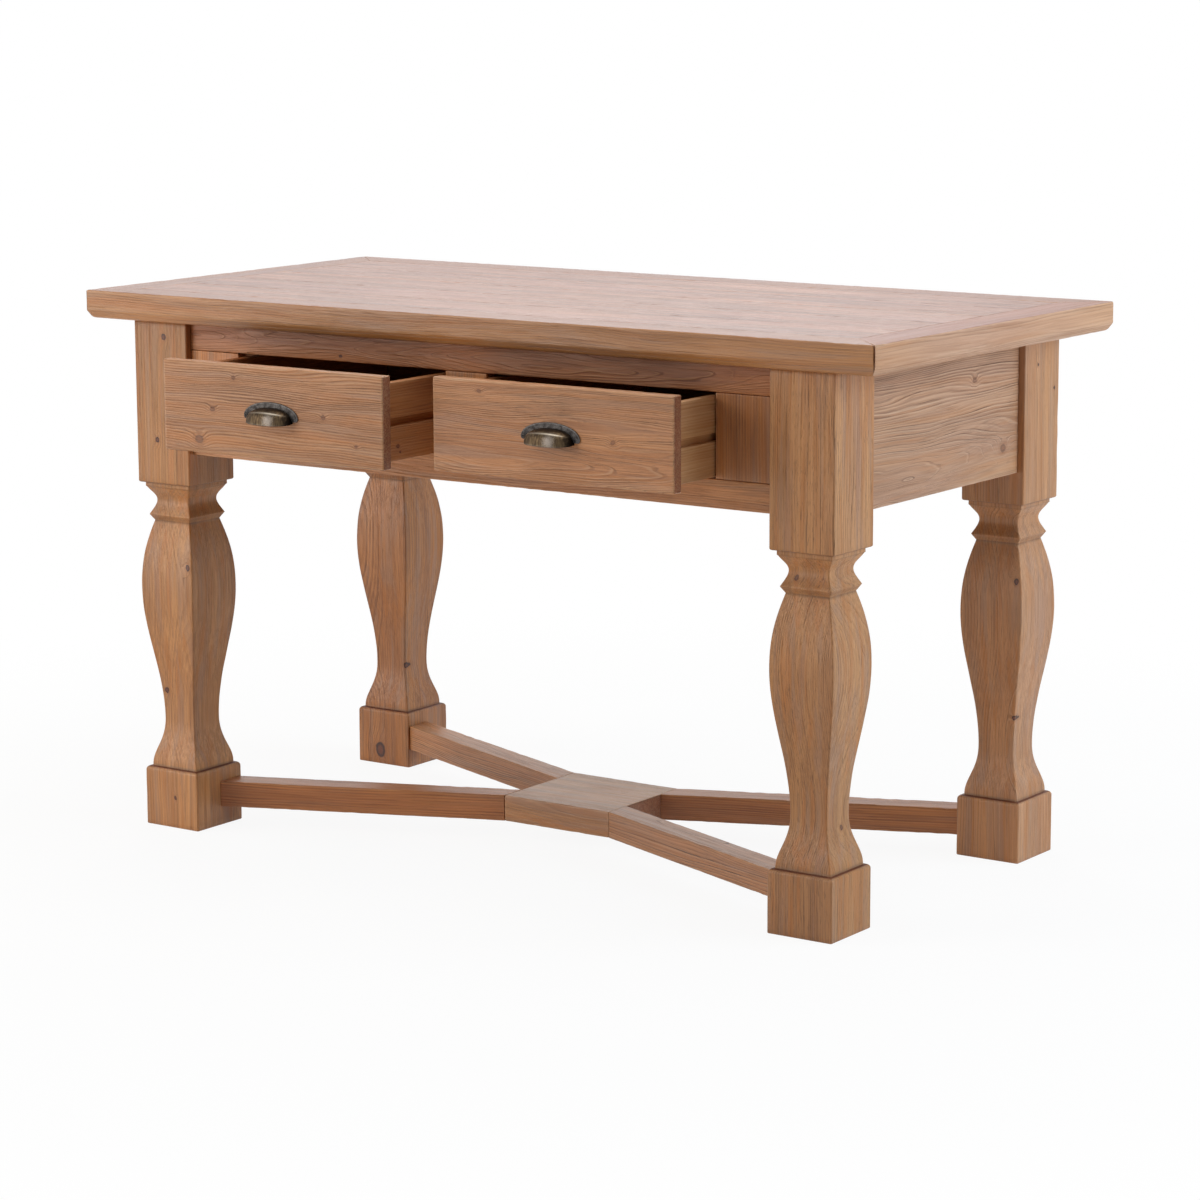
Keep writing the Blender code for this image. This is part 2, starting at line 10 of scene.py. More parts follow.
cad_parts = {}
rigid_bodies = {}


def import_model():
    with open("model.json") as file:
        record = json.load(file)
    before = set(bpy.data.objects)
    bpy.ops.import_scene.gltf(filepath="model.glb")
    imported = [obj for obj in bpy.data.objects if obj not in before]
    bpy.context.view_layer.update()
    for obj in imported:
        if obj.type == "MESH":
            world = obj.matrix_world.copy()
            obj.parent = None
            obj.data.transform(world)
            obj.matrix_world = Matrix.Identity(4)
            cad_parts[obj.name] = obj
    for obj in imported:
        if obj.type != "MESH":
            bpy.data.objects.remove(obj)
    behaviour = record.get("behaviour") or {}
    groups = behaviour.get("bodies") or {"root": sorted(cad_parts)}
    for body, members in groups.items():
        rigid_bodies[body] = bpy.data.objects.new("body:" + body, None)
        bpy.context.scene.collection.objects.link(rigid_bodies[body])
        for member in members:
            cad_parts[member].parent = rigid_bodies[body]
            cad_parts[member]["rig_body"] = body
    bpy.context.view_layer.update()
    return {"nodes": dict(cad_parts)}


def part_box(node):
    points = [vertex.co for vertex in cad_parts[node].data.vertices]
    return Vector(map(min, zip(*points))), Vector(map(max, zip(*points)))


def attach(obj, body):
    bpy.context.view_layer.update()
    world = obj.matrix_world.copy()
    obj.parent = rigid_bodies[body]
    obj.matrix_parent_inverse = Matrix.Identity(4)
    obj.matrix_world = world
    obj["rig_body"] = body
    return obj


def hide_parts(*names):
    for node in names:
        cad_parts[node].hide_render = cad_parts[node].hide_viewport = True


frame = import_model()
nodes = frame["nodes"]
scene = bpy.context.scene
mm = 0.001
print("frame:", len(nodes), "solids")


# Camera, floor and lamps

cameraSet = dict(turn=34.9972, down=10.3894, roll=-0.2638, lens=110.665, place=(3.4314, -4.79315, 1.4915))

# soft boxes round the piece, as a photographer sets them: turn 0 stands in front, 90 to the right; those with
# glints are mirrored by the lacquer and the brass, the others only light them
lampSet = {
    "leftBox": dict(turn=315, rise=8, away=4.5, size=3.0, power=86, colour="#FFFAF2", glints=True),
    "leftHighBox": dict(turn=315, rise=32, away=4.5, size=2.6, power=47, colour="#FFFAF2", glints=False),
    "rightBox": dict(turn=112, rise=15, away=4.5, size=3.0, power=158, colour="#D8EBFF", glints=False),
    "backBox": dict(turn=218, rise=40, away=4.5, size=2.6, power=48, colour="#FFFFFF", glints=True),
    "topBox": dict(turn=90, rise=82, away=3.5, size=3.0, power=84, colour="#FFFFFF", glints=True),
}
lampAim = Vector((0, 0, 0.6))
# glow is the share of plain white in what the camera sees of the floor, near the piece and beyond it
# (metres); given is the warmer tint of the light that the floor sends back up
floorSet = dict(half=60.0, colour="#F4F3F1", given="#F0DDC6", glow=0.92, near=0.9, far=2.2)
worldSet = dict(seen=1.0, given=0.03)


def toLinear(hexColour):  # sRGB hex to linear red, green, blue and alpha
    part = np.array([int(hexColour[i:i + 2], 16) / 255 for i in (1, 3, 5)])
    value = np.where(part <= 0.04045, part / 12.92, ((part + 0.055) / 1.055) ** 2.4)
    return (*value.tolist(), 1.0)


def addNode(tree, kind, *values, out=0, **named):
    # one node: values fill its inputs in order, a name with a capital letter is an input and any other a
    # setting; a socket is linked and anything else is set; a sum or product of more than two values is a
    # chain of nodes
    if "Math" in kind and len(values) > 2:
        values = (addNode(tree, kind, *values[:-1], **named), values[-1])
    node = tree.nodes.new("ShaderNode" + kind)
    inputs = dict(enumerate(values))
    for key, value in named.items():
        if key[0].isupper():
            inputs[key] = value
        else:
            setattr(node, key, value)
    for key, value in inputs.items():
        if isinstance(value, bpy.types.NodeSocket):
            tree.links.new(value, node.inputs[key])
        else:
            node.inputs[key].default_value = value
    return node.outputs[out]


def newMaterial(name):  # with its node tree, what adds a node to it and its shader's inputs
    material = bpy.data.materials.new(name)
    material.use_nodes = True
    tree = material.node_tree
    return material, tree, partial(addNode, tree), tree.nodes["Principled BSDF"].inputs


# settings that many nodes share
plus, minus, times, over, most = (
    {"operation": kind} for kind in ("ADD", "SUBTRACT", "MULTIPLY", "DIVIDE", "MAXIMUM"))
length = {"operation": "LENGTH", "out": "Value"}
soft = {"interpolation_type": "SMOOTHSTEP"}
multiply = {"blend_type": "MULTIPLY"}


def aim(turn, rise):  # unit vector from the piece towards a lamp or the camera
    a, e = math.radians(turn), math.radians(rise)
    return Vector((math.sin(a) * math.cos(e), -math.cos(a) * math.cos(e), math.sin(e)))


def setCamera():
    back = aim(cameraSet["turn"], cameraSet["down"])
    right = aim(cameraSet["turn"] + 90, 0)
    up = back.cross(right)
    roll = math.radians(cameraSet["roll"])
    across = right * math.cos(roll) + up * math.sin(roll)
    upright = up * math.cos(roll) - right * math.sin(roll)
    lens = bpy.data.cameras.new("photoCamera")
    lens.sensor_width = 36.0
    lens.lens = cameraSet["lens"]
    lens.clip_end = 200.0
    camera = bpy.data.objects.new("photoCamera", lens)
    turn = Matrix((across, upright, back)).transposed().to_4x4()
    turn.translation = Vector(cameraSet["place"])
    camera.matrix_world = turn
    scene.collection.objects.link(camera)
    scene.camera = camera


def seenDirectly(add):  # 1 where the camera, a reflection or a clear body sees the surface
    path = add("LightPath").node.outputs
    return add("Math", path["Is Camera Ray"], path["Is Glossy Ray"], path["Is Transmission Ray"], **most)


def rectangle(wide, tall):  # corners from its half sizes, anticlockwise
    return [(-wide, -tall), (wide, -tall), (wide, tall), (-wide, tall)]


def setStage():
    corners = [(x, y, 0) for x, y in rectangle(floorSet["half"], floorSet["half"])]
    mesh = bpy.data.meshes.new("floor")
    mesh.from_pydata(corners, [], [(0, 1, 2, 3)])
    floor = bpy.data.objects.new("floor", mesh)
    scene.collection.objects.link(floor)
    # matt paper sweep: pale, with the piece's shadow thinned by its glow
    paper, tree, add, _ = newMaterial("whitePaperFloor")
    tree.nodes.remove(tree.nodes["Principled BSDF"])
    away = add("VectorMath", add("TexCoord", out="Object"), **length)
    glow = add("MapRange", away, floorSet["near"], floorSet["far"], floorSet["glow"], 1.0, **soft)
    seen = seenDirectly(add)
    matt = add("BsdfDiffuse", add("MixRGB", seen, toLinear(floorSet["given"]), toLinear(floorSet["colour"])))
    white = add("Emission", (1, 1, 1, 1), 1.0)
    mixed = add("MixShader", add("Math", seen, glow, **times), matt, white)
    tree.links.new(mixed, tree.nodes["Material Output"].inputs["Surface"])
    mesh.materials.append(paper)
    world = bpy.data.worlds.new("whiteStudio")
    world.use_nodes = True
    scene.world = world
    tree = world.node_tree
    back = tree.nodes["Background"].inputs
    back["Color"].default_value = (1, 1, 1, 1)
    add = partial(addNode, tree)
    level = add("MapRange", seenDirectly(add), 0.0, 1.0, worldSet["given"], worldSet["seen"])
    tree.links.new(level, back["Strength"])
    for name, lamp in lampSet.items():
        light = bpy.data.lights.new(name, "AREA")
        light.energy = lamp["power"]
        light.color = toLinear(lamp["colour"])[:3]
        light.size = lamp["size"]
        box = bpy.data.objects.new(name, light)
        towards = aim(lamp["turn"], lamp["rise"])
        box.location = lampAim + towards * lamp["away"]
        box.rotation_euler = towards.to_track_quat("Z", "Y").to_euler()
        box.visible_camera = False
        box.visible_glossy = lamp["glints"]
        scene.collection.objects.link(box)


setCamera()
setStage()
scene.view_settings.view_transform = "Standard"
print("stage: camera, floor and", len(lampSet), "soft boxes")


# Meshes from arrays

def gridQuads(rows, columns, wrap):  # corner numbers of the quads between the rows and columns of a grid
    i, j = np.meshgrid(np.arange(rows - 1), np.arange(columns if wrap else columns - 1), indexing="ij")
    k = (j + 1) % columns
    near, far = i * columns, (i + 1) * columns
    return np.stack([near + j, near + k, far + k, far + j], -1).reshape(-1, 4)


def tube(points):  # a grid of points with a closed ring in each row, as a shell whose ends are closed too
    rows, columns = points.shape[:2]
    ends = [np.arange(columns)[::-1], np.arange(columns) + (rows - 1) * columns]
    return points.reshape(-1, 3), [gridQuads(rows, columns, True)], ends


def meshOf(name, *shells):
    # each shell is its points, its faces as arrays with three or four corner numbers a row, and rings that
    # close its ends
    allPoints, allCorners, allSizes = [], [], []
    for points, faces, rings in shells:
        corners = np.concatenate([part.ravel() for part in faces] + [np.asarray(ring) for ring in rings])
        sizes = np.concatenate(
            [np.full(len(part), part.shape[1]) for part in faces] + [[len(ring)] for ring in rings])
        starts = np.cumsum(sizes) - sizes
        owner = np.repeat(np.arange(len(sizes)), sizes)
        step = np.arange(len(corners)) - starts[owner]
        # six times the volume, as a fan of each face from its first corner: a negative one means inside out
        following = corners[starts[owner] + (step + 1) % sizes[owner]]
        turned = np.cross(points[corners], points[following])
        volume = np.einsum("ij,ij->", points[corners[starts[owner]]], turned)
        if volume < 0:
            corners = corners[starts[owner] + sizes[owner] - 1 - step]
        allCorners.append(corners + sum(len(part) for part in allPoints))
        allPoints.append(points)
        allSizes.append(sizes)
    points, corners, sizes = (np.concatenate(part) for part in (allPoints, allCorners, allSizes))
    mesh = bpy.data.meshes.new(name)
    mesh.vertices.add(len(points))
    mesh.vertices.foreach_set("co", points.astype(np.float32).ravel())
    mesh.loops.add(len(corners))
    mesh.loops.foreach_set("vertex_index", corners.astype(np.int32))
    mesh.polygons.add(len(sizes))
    mesh.polygons.foreach_set("loop_start", (np.cumsum(sizes) - sizes).astype(np.int32))
    mesh.polygons.foreach_set("use_smooth", sizes < 5)
    mesh.update(calc_edges=True)
    mesh.validate()
    return mesh


def addPiece(name, mesh, material, node, slot, **traits):
    # puts a finished mesh in the scene in place of a solid, on its body; traits are numbers for its points
    for trait, values in traits.items():
        data = mesh.attributes.new(trait, "FLOAT", "POINT").data
        data.foreach_set("value", values.astype(np.float32).ravel())
    mesh.materials.append(material)
    piece = bpy.data.objects.new(name, mesh)
    scene.collection.objects.link(piece)
    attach(piece, nodes[node]["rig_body"])
    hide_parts(node)


def camel(node):
    first, *rest = node.split("_")
    return first + "".join(word.capitalize() for word in rest)


def seedOf(name):  # random numbers of a piece's own, the same in every run
    return np.random.default_rng(zlib.crc32(name.encode()))


def ripple(chance, along, wave, count=5):  # sum of a few sines of about one wave length, from -1 to 1
    size = wave * chance.uniform(0.55, 1.8, count)
    start = chance.uniform(0, 2 * math.pi, count)
    return np.sin(np.asarray(along)[..., None] / size * 2 * math.pi + start).mean(-1) * 1.6


# how deep wear goes at the edges and on the faces, and the lengths over which it changes
boardWear = dict(edge=0.9 * mm, face=0.25 * mm, wave=0.055, long=0.16, wide=0.06)
# cell and along are the mesh's spacing across and along a board, margin the first step from a rounding
boardSet = dict(round=1.7 * mm, cell=7 * mm, along=14 * mm, margin=2.2 * mm, edgeWide=1.6 * mm)


def roundOutline(corners, radii, cell=boardSet["cell"], arcSteps=4):
    # each corner of a polygon, anticlockwise, becomes an arc; the flats between get points about a cell apart
    corners = np.asarray(corners, float)
    radii = np.broadcast_to(radii, len(corners))
    into = corners - np.roll(corners, 1, 0)
    into /= np.linalg.norm(into, axis=1)[:, None]
    outOf = np.roll(into, -1, 0)
    bend = np.arctan2(into[:, 0] * outOf[:, 1] - into[:, 1] * outOf[:, 0], (into * outOf).sum(1))
    reach = radii * np.tan(np.abs(bend) / 2)
    points, normals, edges = [], [], []
    for i in range(len(corners)):
        side = np.sign(bend[i])
        out = np.array([into[i, 1], -into[i, 0]])
        middle = corners[i] - into[i] * reach[i] - out * radii[i] * side
        angle = math.atan2(out[1], out[0]) + bend[i] * np.linspace(0, 1, arcSteps + 1)
        ring = np.stack([np.cos(angle), np.sin(angle)], 1)
        points.append(middle + ring * radii[i] * side)
        normals.append(ring)
        edges.append(np.full(len(ring), 1.0 if side > 0 else 0.0))
        j = (i + 1) % len(corners)
        start, end = corners[i] + outOf[i] * reach[i], corners[j] - outOf[i] * reach[j]
        long = np.linalg.norm(end - start)
        margin = min(boardSet["margin"], long / 3)
        inner = np.linspace(margin, long - margin, max(2, int(round((long - 2 * margin) / cell)) + 1))
        points.append(start + outOf[i] * inner[:, None])
        normals.append(np.tile([outOf[i, 1], -outOf[i, 0]], (len(inner), 1)))
        ends = np.array([1.0 if bend[i] > 0 else 0.0, 1.0 if bend[j] > 0 else 0.0])
        near = np.exp(-(np.stack([inner, long - inner], 1) / boardSet["edgeWide"]) ** 2) * ends
        edges.append(near.max(1))
    return np.concatenate(points), np.concatenate(normals), np.concatenate(edges)


def wornDepth(wear, worn, uneven, edge, drawn=0.0):  # how far a surface lies under its full size
    return drawn + wear["edge"] * worn * edge + wear["face"] * (0.5 + 0.5 * uneven) * (1 - edge)


def sweep(name, outline, ends, endRound, wear, place):
    # a closed outline carried along a straight run: at each station it is drawn in by the ends' rounding, by
    # wear on its edges and by a slow unevenness of the planed faces; ends are where the run starts and stops,
    # for the whole outline or for each of its points
    flat, normal, edge = outline
    chance = seedOf(name)
    turn = np.linspace(0, math.pi / 2, 5)
    rise, inset = endRound * (1 - np.cos(turn)), endRound * (1 - np.sin(turn))
    first, last = (np.broadcast_to(end, len(flat)) for end in ends)
    long = float(np.median(last - first))
    lead = min(endRound + boardSet["margin"], long / 4)
    share = np.linspace(lead / long, 1 - lead / long, max(3, int(round(long / boardSet["along"]))))
    mixAt = np.concatenate([np.zeros(5), share, np.ones(5)])
    offset = np.concatenate([rise, np.zeros(len(share)), -rise[::-1]])
    drawn = np.concatenate([inset, np.zeros(len(share)), inset[::-1]])
    run = first[None] * (1 - mixAt[:, None]) + last[None] * mixAt[:, None] + offset[:, None]
    across = np.cumsum(np.linalg.norm(np.diff(flat, axis=0, prepend=flat[:1]), axis=1))
    worn = np.clip(ripple(chance, run + 7 * across[None], wear["wave"]) ** 2, 0, 1)
    uneven = np.clip(ripple(chance, run, wear["long"]) * ripple(chance, across, wear["wide"])[None], -1, 1)
    deep = wornDepth(wear, worn, uneven, edge[None], drawn[:, None])
    closeness = np.where((offset != 0) | (mixAt == 0) | (mixAt == 1), 1.0, 0.0)
    side = flat[None] - normal[None] * deep[..., None]
    mesh = meshOf(name, tube(place(run, side[..., 0], side[..., 1])))
    return mesh, np.maximum(edge[None], closeness[:, None]) * (0.6 + 0.4 * worn)


# Pine

# light and dark wood of each kind of board, dirt in the brushed lines, pale rubbed edges and ridges, the
# ridges partly a painted highlight
plainTone = dict(line="#5E4636", bare="#D2AB88", lines=1.0, stained=1.0, gloss=0.42)
pineTones = {
    "frame": dict(light="#C48E60", dark="#A2704A"),
    # partly painted shade: a redder, darker copy of the frame's wood that stands in for the warmer light in
    # shade, also the own colour of some boards
    "warm": dict(light="#C08858", dark="#9D6A44", line="#5A4233", bare="#CB9E74"),
    "leg": dict(light="#C29263", dark="#A0734B", line="#5E4838"),
    # partly painted light: a greyer copy that stands in for the cooler light on faces turned to the right
    "grey": dict(light="#C49267", dark="#A2744F"),
    # partly painted shade: a redder, darker copy for boards that stand in shade
    "rail": dict(light="#BD7E4D", dark="#985F39", line="#573D2E", bare="#C4905F",
                 lines=0.45, stained=0.4, gloss=0.46),
    "panel": dict(light="#C29A7A", dark="#A98163", line="#6A5142", bare="#D8B598", lines=0.8, stained=0.5),
    "border": dict(light="#C39060", dark="#A6764D", line="#64503F", bare="#C0905E", lines=0.45, gloss=0.32),
    "top": dict(light="#B27F6C", dark="#6E483D", line="#3C2B24", bare="#BC937C", stained=0.3, gloss=0.30),
    "drawer": dict(light="#BC8250", dark="#A2673A", line="#74502F", bare="#CDA581",
                   lines=0.2, stained=0.2, gloss=0.55),
    # painted light: a paler copy of the drawer's wood for a drawer side that stands in the light
    "pale": dict(light="#CBA57C", dark="#B88D62", line="#8A6848", bare="#D6B896",
                 lines=0.2, stained=0.2, gloss=0.55),
    # painted shade: the drawer boxes' inside pieces are darkened to stand in for the shade inside the carcass
    "inside": dict(light="#7E5A3A", dark="#684629", line="#4C3422", bare="#86623F",
                   lines=0.3, stained=0.2, gloss=0.60),
}
# what a board has unless its own look says otherwise: shade makes its wood paler or darker than its kind,
# on some boards as painted light and on others as painted shade; ticks break its lines, worn bares its edges,
# the fading takes yellow from its upper face, partly as cleaning and partly as a painted sheen, and along
# shifts its pattern in mm; a knot is its centre and radius in mm and the axis that it goes through
plainLook = dict(
    tone="frame", shade=1.0, lines=1.0, ticks=0.3, worn=0.6, knotDeep=0.85, faded=0.0, along=0, knots=())
grainSet = {
    # how fast each pattern changes per mm along the grain and across it, with a bend's reach in mm, where it
    # isn't the board's own warp, and a noise's detail
    "bends": [(0.0018, 0.011, None), (0.0055, 0.040, 4.5)],
    "noise": {
        "fibre": (0.007, 0.42, 3.0), "fine": (0.0055, 0.66, 1.0), "dash": (0.010, 0.14, 2.0),
        "stroke": (0.030, 0.22, 2.0), "tick": (0.070, 0.80, 1.0), "warm": (0.004, 0.080, 2.0),
        "cool": (0.0036, 0.066, 2.0), "patch": (0.0045, 0.018, 2.0), "band": (0.0022, 0.045, 2.0),
        "broad": (0.0016, 0.010, 2.0)},
    # the lines are drawn 1.4 mm wide, coarser than real pine, so that they show a few steps away
    "drift": 0.016, "driftRings": 2.2, "lineWide": 1.4, "leastSlant": 0.12, "relief": 0.9,
    "warm": "#B8793F", "cool": "#A68774", "ochre": "#FFF6E6", "rose": "#F3ECEE",
    "cutEnd": "#A9714E", "faded": "#C8BCD6", "knotHalo": "#8E5632", "knotHeart": "#6A3822",
    "knotRing": "#3A1B0D",
    # a knot is drawn out along the grain and goes deep into the board; it pushes the rings by so many radii
    "knotAlong": 0.78, "knotThrough": 0.2, "knotPush": 1.5, "knotShake": 5.0, "knotFall": 0.42,
}


def newGroup(name, inputs, outputs):  # the sockets' titles are listed by kind
    tree = bpy.data.node_groups.new(name, "ShaderNodeTree")
    for way, kinds in (("INPUT", inputs), ("OUTPUT", outputs)):
        for kind, titles in kinds.items():
            for title in titles.split():
                tree.interface.new_socket(title, in_out=way, socket_type="NodeSocket" + kind)
    return tree, tree.nodes.new("NodeGroupInput").outputs, tree.nodes.new("NodeGroupOutput").inputs


def makeGrain():
    # sawn pine as a solid: rings round a wandering pith, so legs show arches and flat boards show lines
    tree, given, give = newGroup(
        "pineGrain",
        dict(Vector="Place Facing", Color="Light Dark Line Bare",
             Float="Lift Near Edge RingGap Warp Lines Ticks Gloss EndGrain Knots Faded Stained Grime"),
        dict(Color="Colour", Float="Roughness Height"))
    add = partial(addNode, tree)
    tone = {name: toLinear(value) for name, value in grainSet.items() if isinstance(value, str)}
    bent = given["Place"]
    for speed, side, reach in grainSet["bends"]:
        wander = add("VectorMath", given["Place"], (speed, side, side), **times)
        wander = add("TexNoise", wander, out=1, Scale=1.0, Detail=2.0)
        wander = add("VectorMath", wander, (0.5,) * 3, **minus)
        wander = add("VectorMath", wander, (reach,) * 3 if reach else given["Warp"], **times)
        bent = add("VectorMath", bent, wander, **plus)
    noise = {}
    for name, (speed, side, detail) in grainSet["noise"].items():
        noise[name] = add("VectorMath", bent, (speed, side, side), **times)
        noise[name] = add("TexNoise", noise[name], Scale=1.0, Detail=detail)
    across = add("VectorMath", bent, (0, 1, 1), **times)
    radius = add("Math", add("VectorMath", across, **length), given["Lift"], **plus)
    drift = add("Math", radius, grainSet["drift"], **times)
    drift = add("TexNoise", W=drift, Scale=1.0, Detail=1.5, noise_dimensions="1D")
    drift = add("MapRange", drift, 0.0, 1.0, -grainSet["driftRings"], grainSet["driftRings"])
    ring = add("Math", add("Math", radius, given["RingGap"], **over), drift, **plus)
    share = add("Math", ring, operation="FRACT")
    vigour = add("TexWhiteNoise", W=add("Math", ring, operation="FLOOR"), noise_dimensions="1D")
    vigour = add("MapRange", vigour, 0.0, 0.9, 0.35, 1.0, **soft)
    # a ring's late wood darkens and stops at a brushed line; the line keeps its width on the face where the
    # saw met the rings at a slant, so it takes less of a wide ring, and the ridge beside it is painted pale,
    # partly rubbed wood and partly a painted highlight of the relief
    outwards = add("VectorMath", across, operation="NORMALIZE")
    slant = add("VectorMath", outwards, given["Facing"], operation="CROSS_PRODUCT")
    slant = add("Math", add("VectorMath", slant, **length), grainSet["leastSlant"], **most)
    thin = add("Math", add("Math", slant, grainSet["lineWide"], **times), given["RingGap"], **over)
    back = add("Math", add("Math", 1.0, share, **minus), thin, **over)
    dash = add("MapRange", noise["dash"], 0.36, 0.58, 0.35, 1.0, **soft)
    gap = add("Math", add("MapRange", noise["stroke"], 0.44, 0.58, 1.0, 0.0, **soft), given["Ticks"], **times)
    line = add("Math", add("MapRange", back, 0.7, 1.2, 1.0, 0.0, **soft),
               add("MapRange", back, 0.0, 0.25, **soft), vigour, dash,
               add("Math", 1.0, gap, **minus), **times)
    ridgeRubAndHighlight = add("Math", add("MapRange", back, 0.9, 1.4, **soft),
                add("MapRange", back, 1.6, 2.6, 1.0, 0.0, **soft), vigour,
                add("MapRange", given["Lines"], 0.0, 1.0, 0.15, 0.5), **times)
    late = add("Math", add("MapRange", share, 0.15, 0.95, **soft), vigour, **times)
    fine = add("Math", add("MapRange", noise["fine"], 0.52, 0.64, **soft), dash, **times)
    tick = add("Math", add("MapRange", noise["tick"], 0.60, 0.70, **soft), given["Ticks"], **times)
    # colour: light to dark over a ring and over broad bands, warm strokes, a slow drift from ochre to rose
    dark = add("Math", late, 0.35, **times)
    dark = add("Math", dark, add("MapRange", noise["fibre"], 0.36, 0.64, 0.0, 0.5, **soft), **plus)
    band = add("MapRange", noise["band"], 0.35, 0.65, -0.2, 0.4, **soft)
    dark = add("Math", dark, band, **plus, use_clamp=True)
    wood = add("MixRGB", dark, given["Light"], given["Dark"])
    for stroke, low, high, strong in (("warm", 0.48, 0.64, 0.55), ("cool", 0.50, 0.66, 0.45)):
        stain = add("MapRange", noise[stroke], low, high, 0.0, strong, **soft)
        stain = add("Math", stain, given["Stained"], **times)
        wood = add("MixRGB", stain, wood, tone[stroke])
    tint = add("MixRGB", add("MapRange", noise["broad"], 0.3, 0.7), tone["ochre"], tone["rose"])
    wood = add("MixRGB", 1.0, wood, tint, **multiply)
    # rubbed ridges with a painted highlight, dirt in the lines together with the painted shade of the creases,
    # dark cut ends, bare edges, knots
    wood = add("MixRGB", ridgeRubAndHighlight, wood, given["Bare"])
    dirtAndShade = add("Math", add("Math", line, 0.68, **times), add("Math", fine, 0.28, **times), **plus)
    dirtAndShade = add("Math", dirtAndShade, add("Math", tick, 0.7, **times), **plus, use_clamp=True)
    dirtAndShade = add("Math", dirtAndShade, add("MapRange", noise["patch"], 0.34, 0.60, 0.6, 1.0, **soft), **times)
    dirtAndShade = add("Math", dirtAndShade, given["Lines"], **times, use_clamp=True)
    dirtAndShade = add("Math", dirtAndShade, add("MapRange", given["EndGrain"], 0.0, 1.0, 1.0, 0.15), **times)
    # painted shade, with some dirt, in a leg's creases darkens the wood like the dirt in the lines
    dirtAndShade = add("Math", dirtAndShade, given["Grime"], **most)
    wood = add("MixRGB", dirtAndShade, wood, given["Line"])
    wood = add("MixRGB", given["EndGrain"], wood, tone["cutEnd"], **multiply)
    rubbed = add("Math", add("MapRange", noise["fibre"], 0.3, 0.6, 0.9, 0.35, **soft), given["Edge"], **times)
    wood = add("MixRGB", rubbed, wood, given["Bare"])
    halo = add("MapRange", given["Near"], 0.9, 2.4, 0.4, 0.0, **soft)
    wood = add("MixRGB", halo, wood, tone["knotHalo"])
    heart = add("MapRange", given["Near"], 0.35, 0.85, **soft)
    heart = add("MixRGB", heart, tone["knotHeart"], tone["knotRing"])
    knot = add("Math", add("MapRange", given["Near"], 0.9, 1.2, 1.0, 0.0, **soft), given["Knots"], **times)
    wood = add("MixRGB", knot, wood, heart)
    # upper faces greyed: partly cleaning that took the yellow out of a worktop's upper face, partly a painted
    # sheen of the light on it
    upper = add("SeparateXYZ", add("NewGeometry", out="Normal"), out=2)
    upper = add("Math", add("MapRange", upper, 0.7, 0.95, **soft), given["Faded"], **times)
    wood = add("MixRGB", upper, wood, tone["faded"], **multiply)
    tree.links.new(wood, give["Colour"])
    # height in mm: hard late wood stands over the brushed lines
    high = add("Math", late, 0.30, **times)
    for groove, deep in ((line, -0.55), (fine, -0.18), (tick, -0.16)):
        high = add("Math", high, add("Math", groove, deep, **times), **plus)
    tree.links.new(high, give["Height"])
    shine = add("MapRange", noise["fibre"], 0.3, 0.7, -0.05, 0.06, **soft)
    shine = add("Math", shine, given["Gloss"], **plus)
    shine = add("Math", shine, add("Math", dirtAndShade, 0.2, **times), **plus, use_clamp=True)
    tree.links.new(shine, give["Roughness"])
    return tree


def makeKnot():
    # a branch end: how near it is in its own radii, and how far it pushes the rings aside
    tree, given, give = newGroup(
        "pineKnot", dict(Vector="Spot Centre Reach", Float="Push"), dict(Float="Near Lift"))
    add = partial(addNode, tree)
    spot = add("VectorMath", given["Spot"], (1 / mm,) * 3, **times)
    shake = add("VectorMath", add("TexNoise", spot, out=1, Scale=0.12, Detail=1.0), (0.5,) * 3, **minus)
    spot = add("VectorMath", spot, add("VectorMath", shake, (grainSet["knotShake"],) * 3, **times), **plus)
    away = add("VectorMath", add("VectorMath", spot, given["Centre"], **minus), given["Reach"], **times)
    near = add("VectorMath", away, **length)
    # the push falls off as a bell
    fall = add("Math", add("Math", near, grainSet["knotFall"], **times), 2.0, operation="POWER")
    fall = add("Math", add("Math", fall, -1.0, **times), operation="EXPONENT")
    tree.links.new(near, give["Near"])
    tree.links.new(add("Math", fall, given["Push"], **times), give["Lift"])
    return tree


grainTree, knotTree = makeGrain(), makeKnot()
axes = {"x": Vector((1, 0, 0)), "y": Vector((0, 1, 0)), "z": Vector((0, 0, 1))}


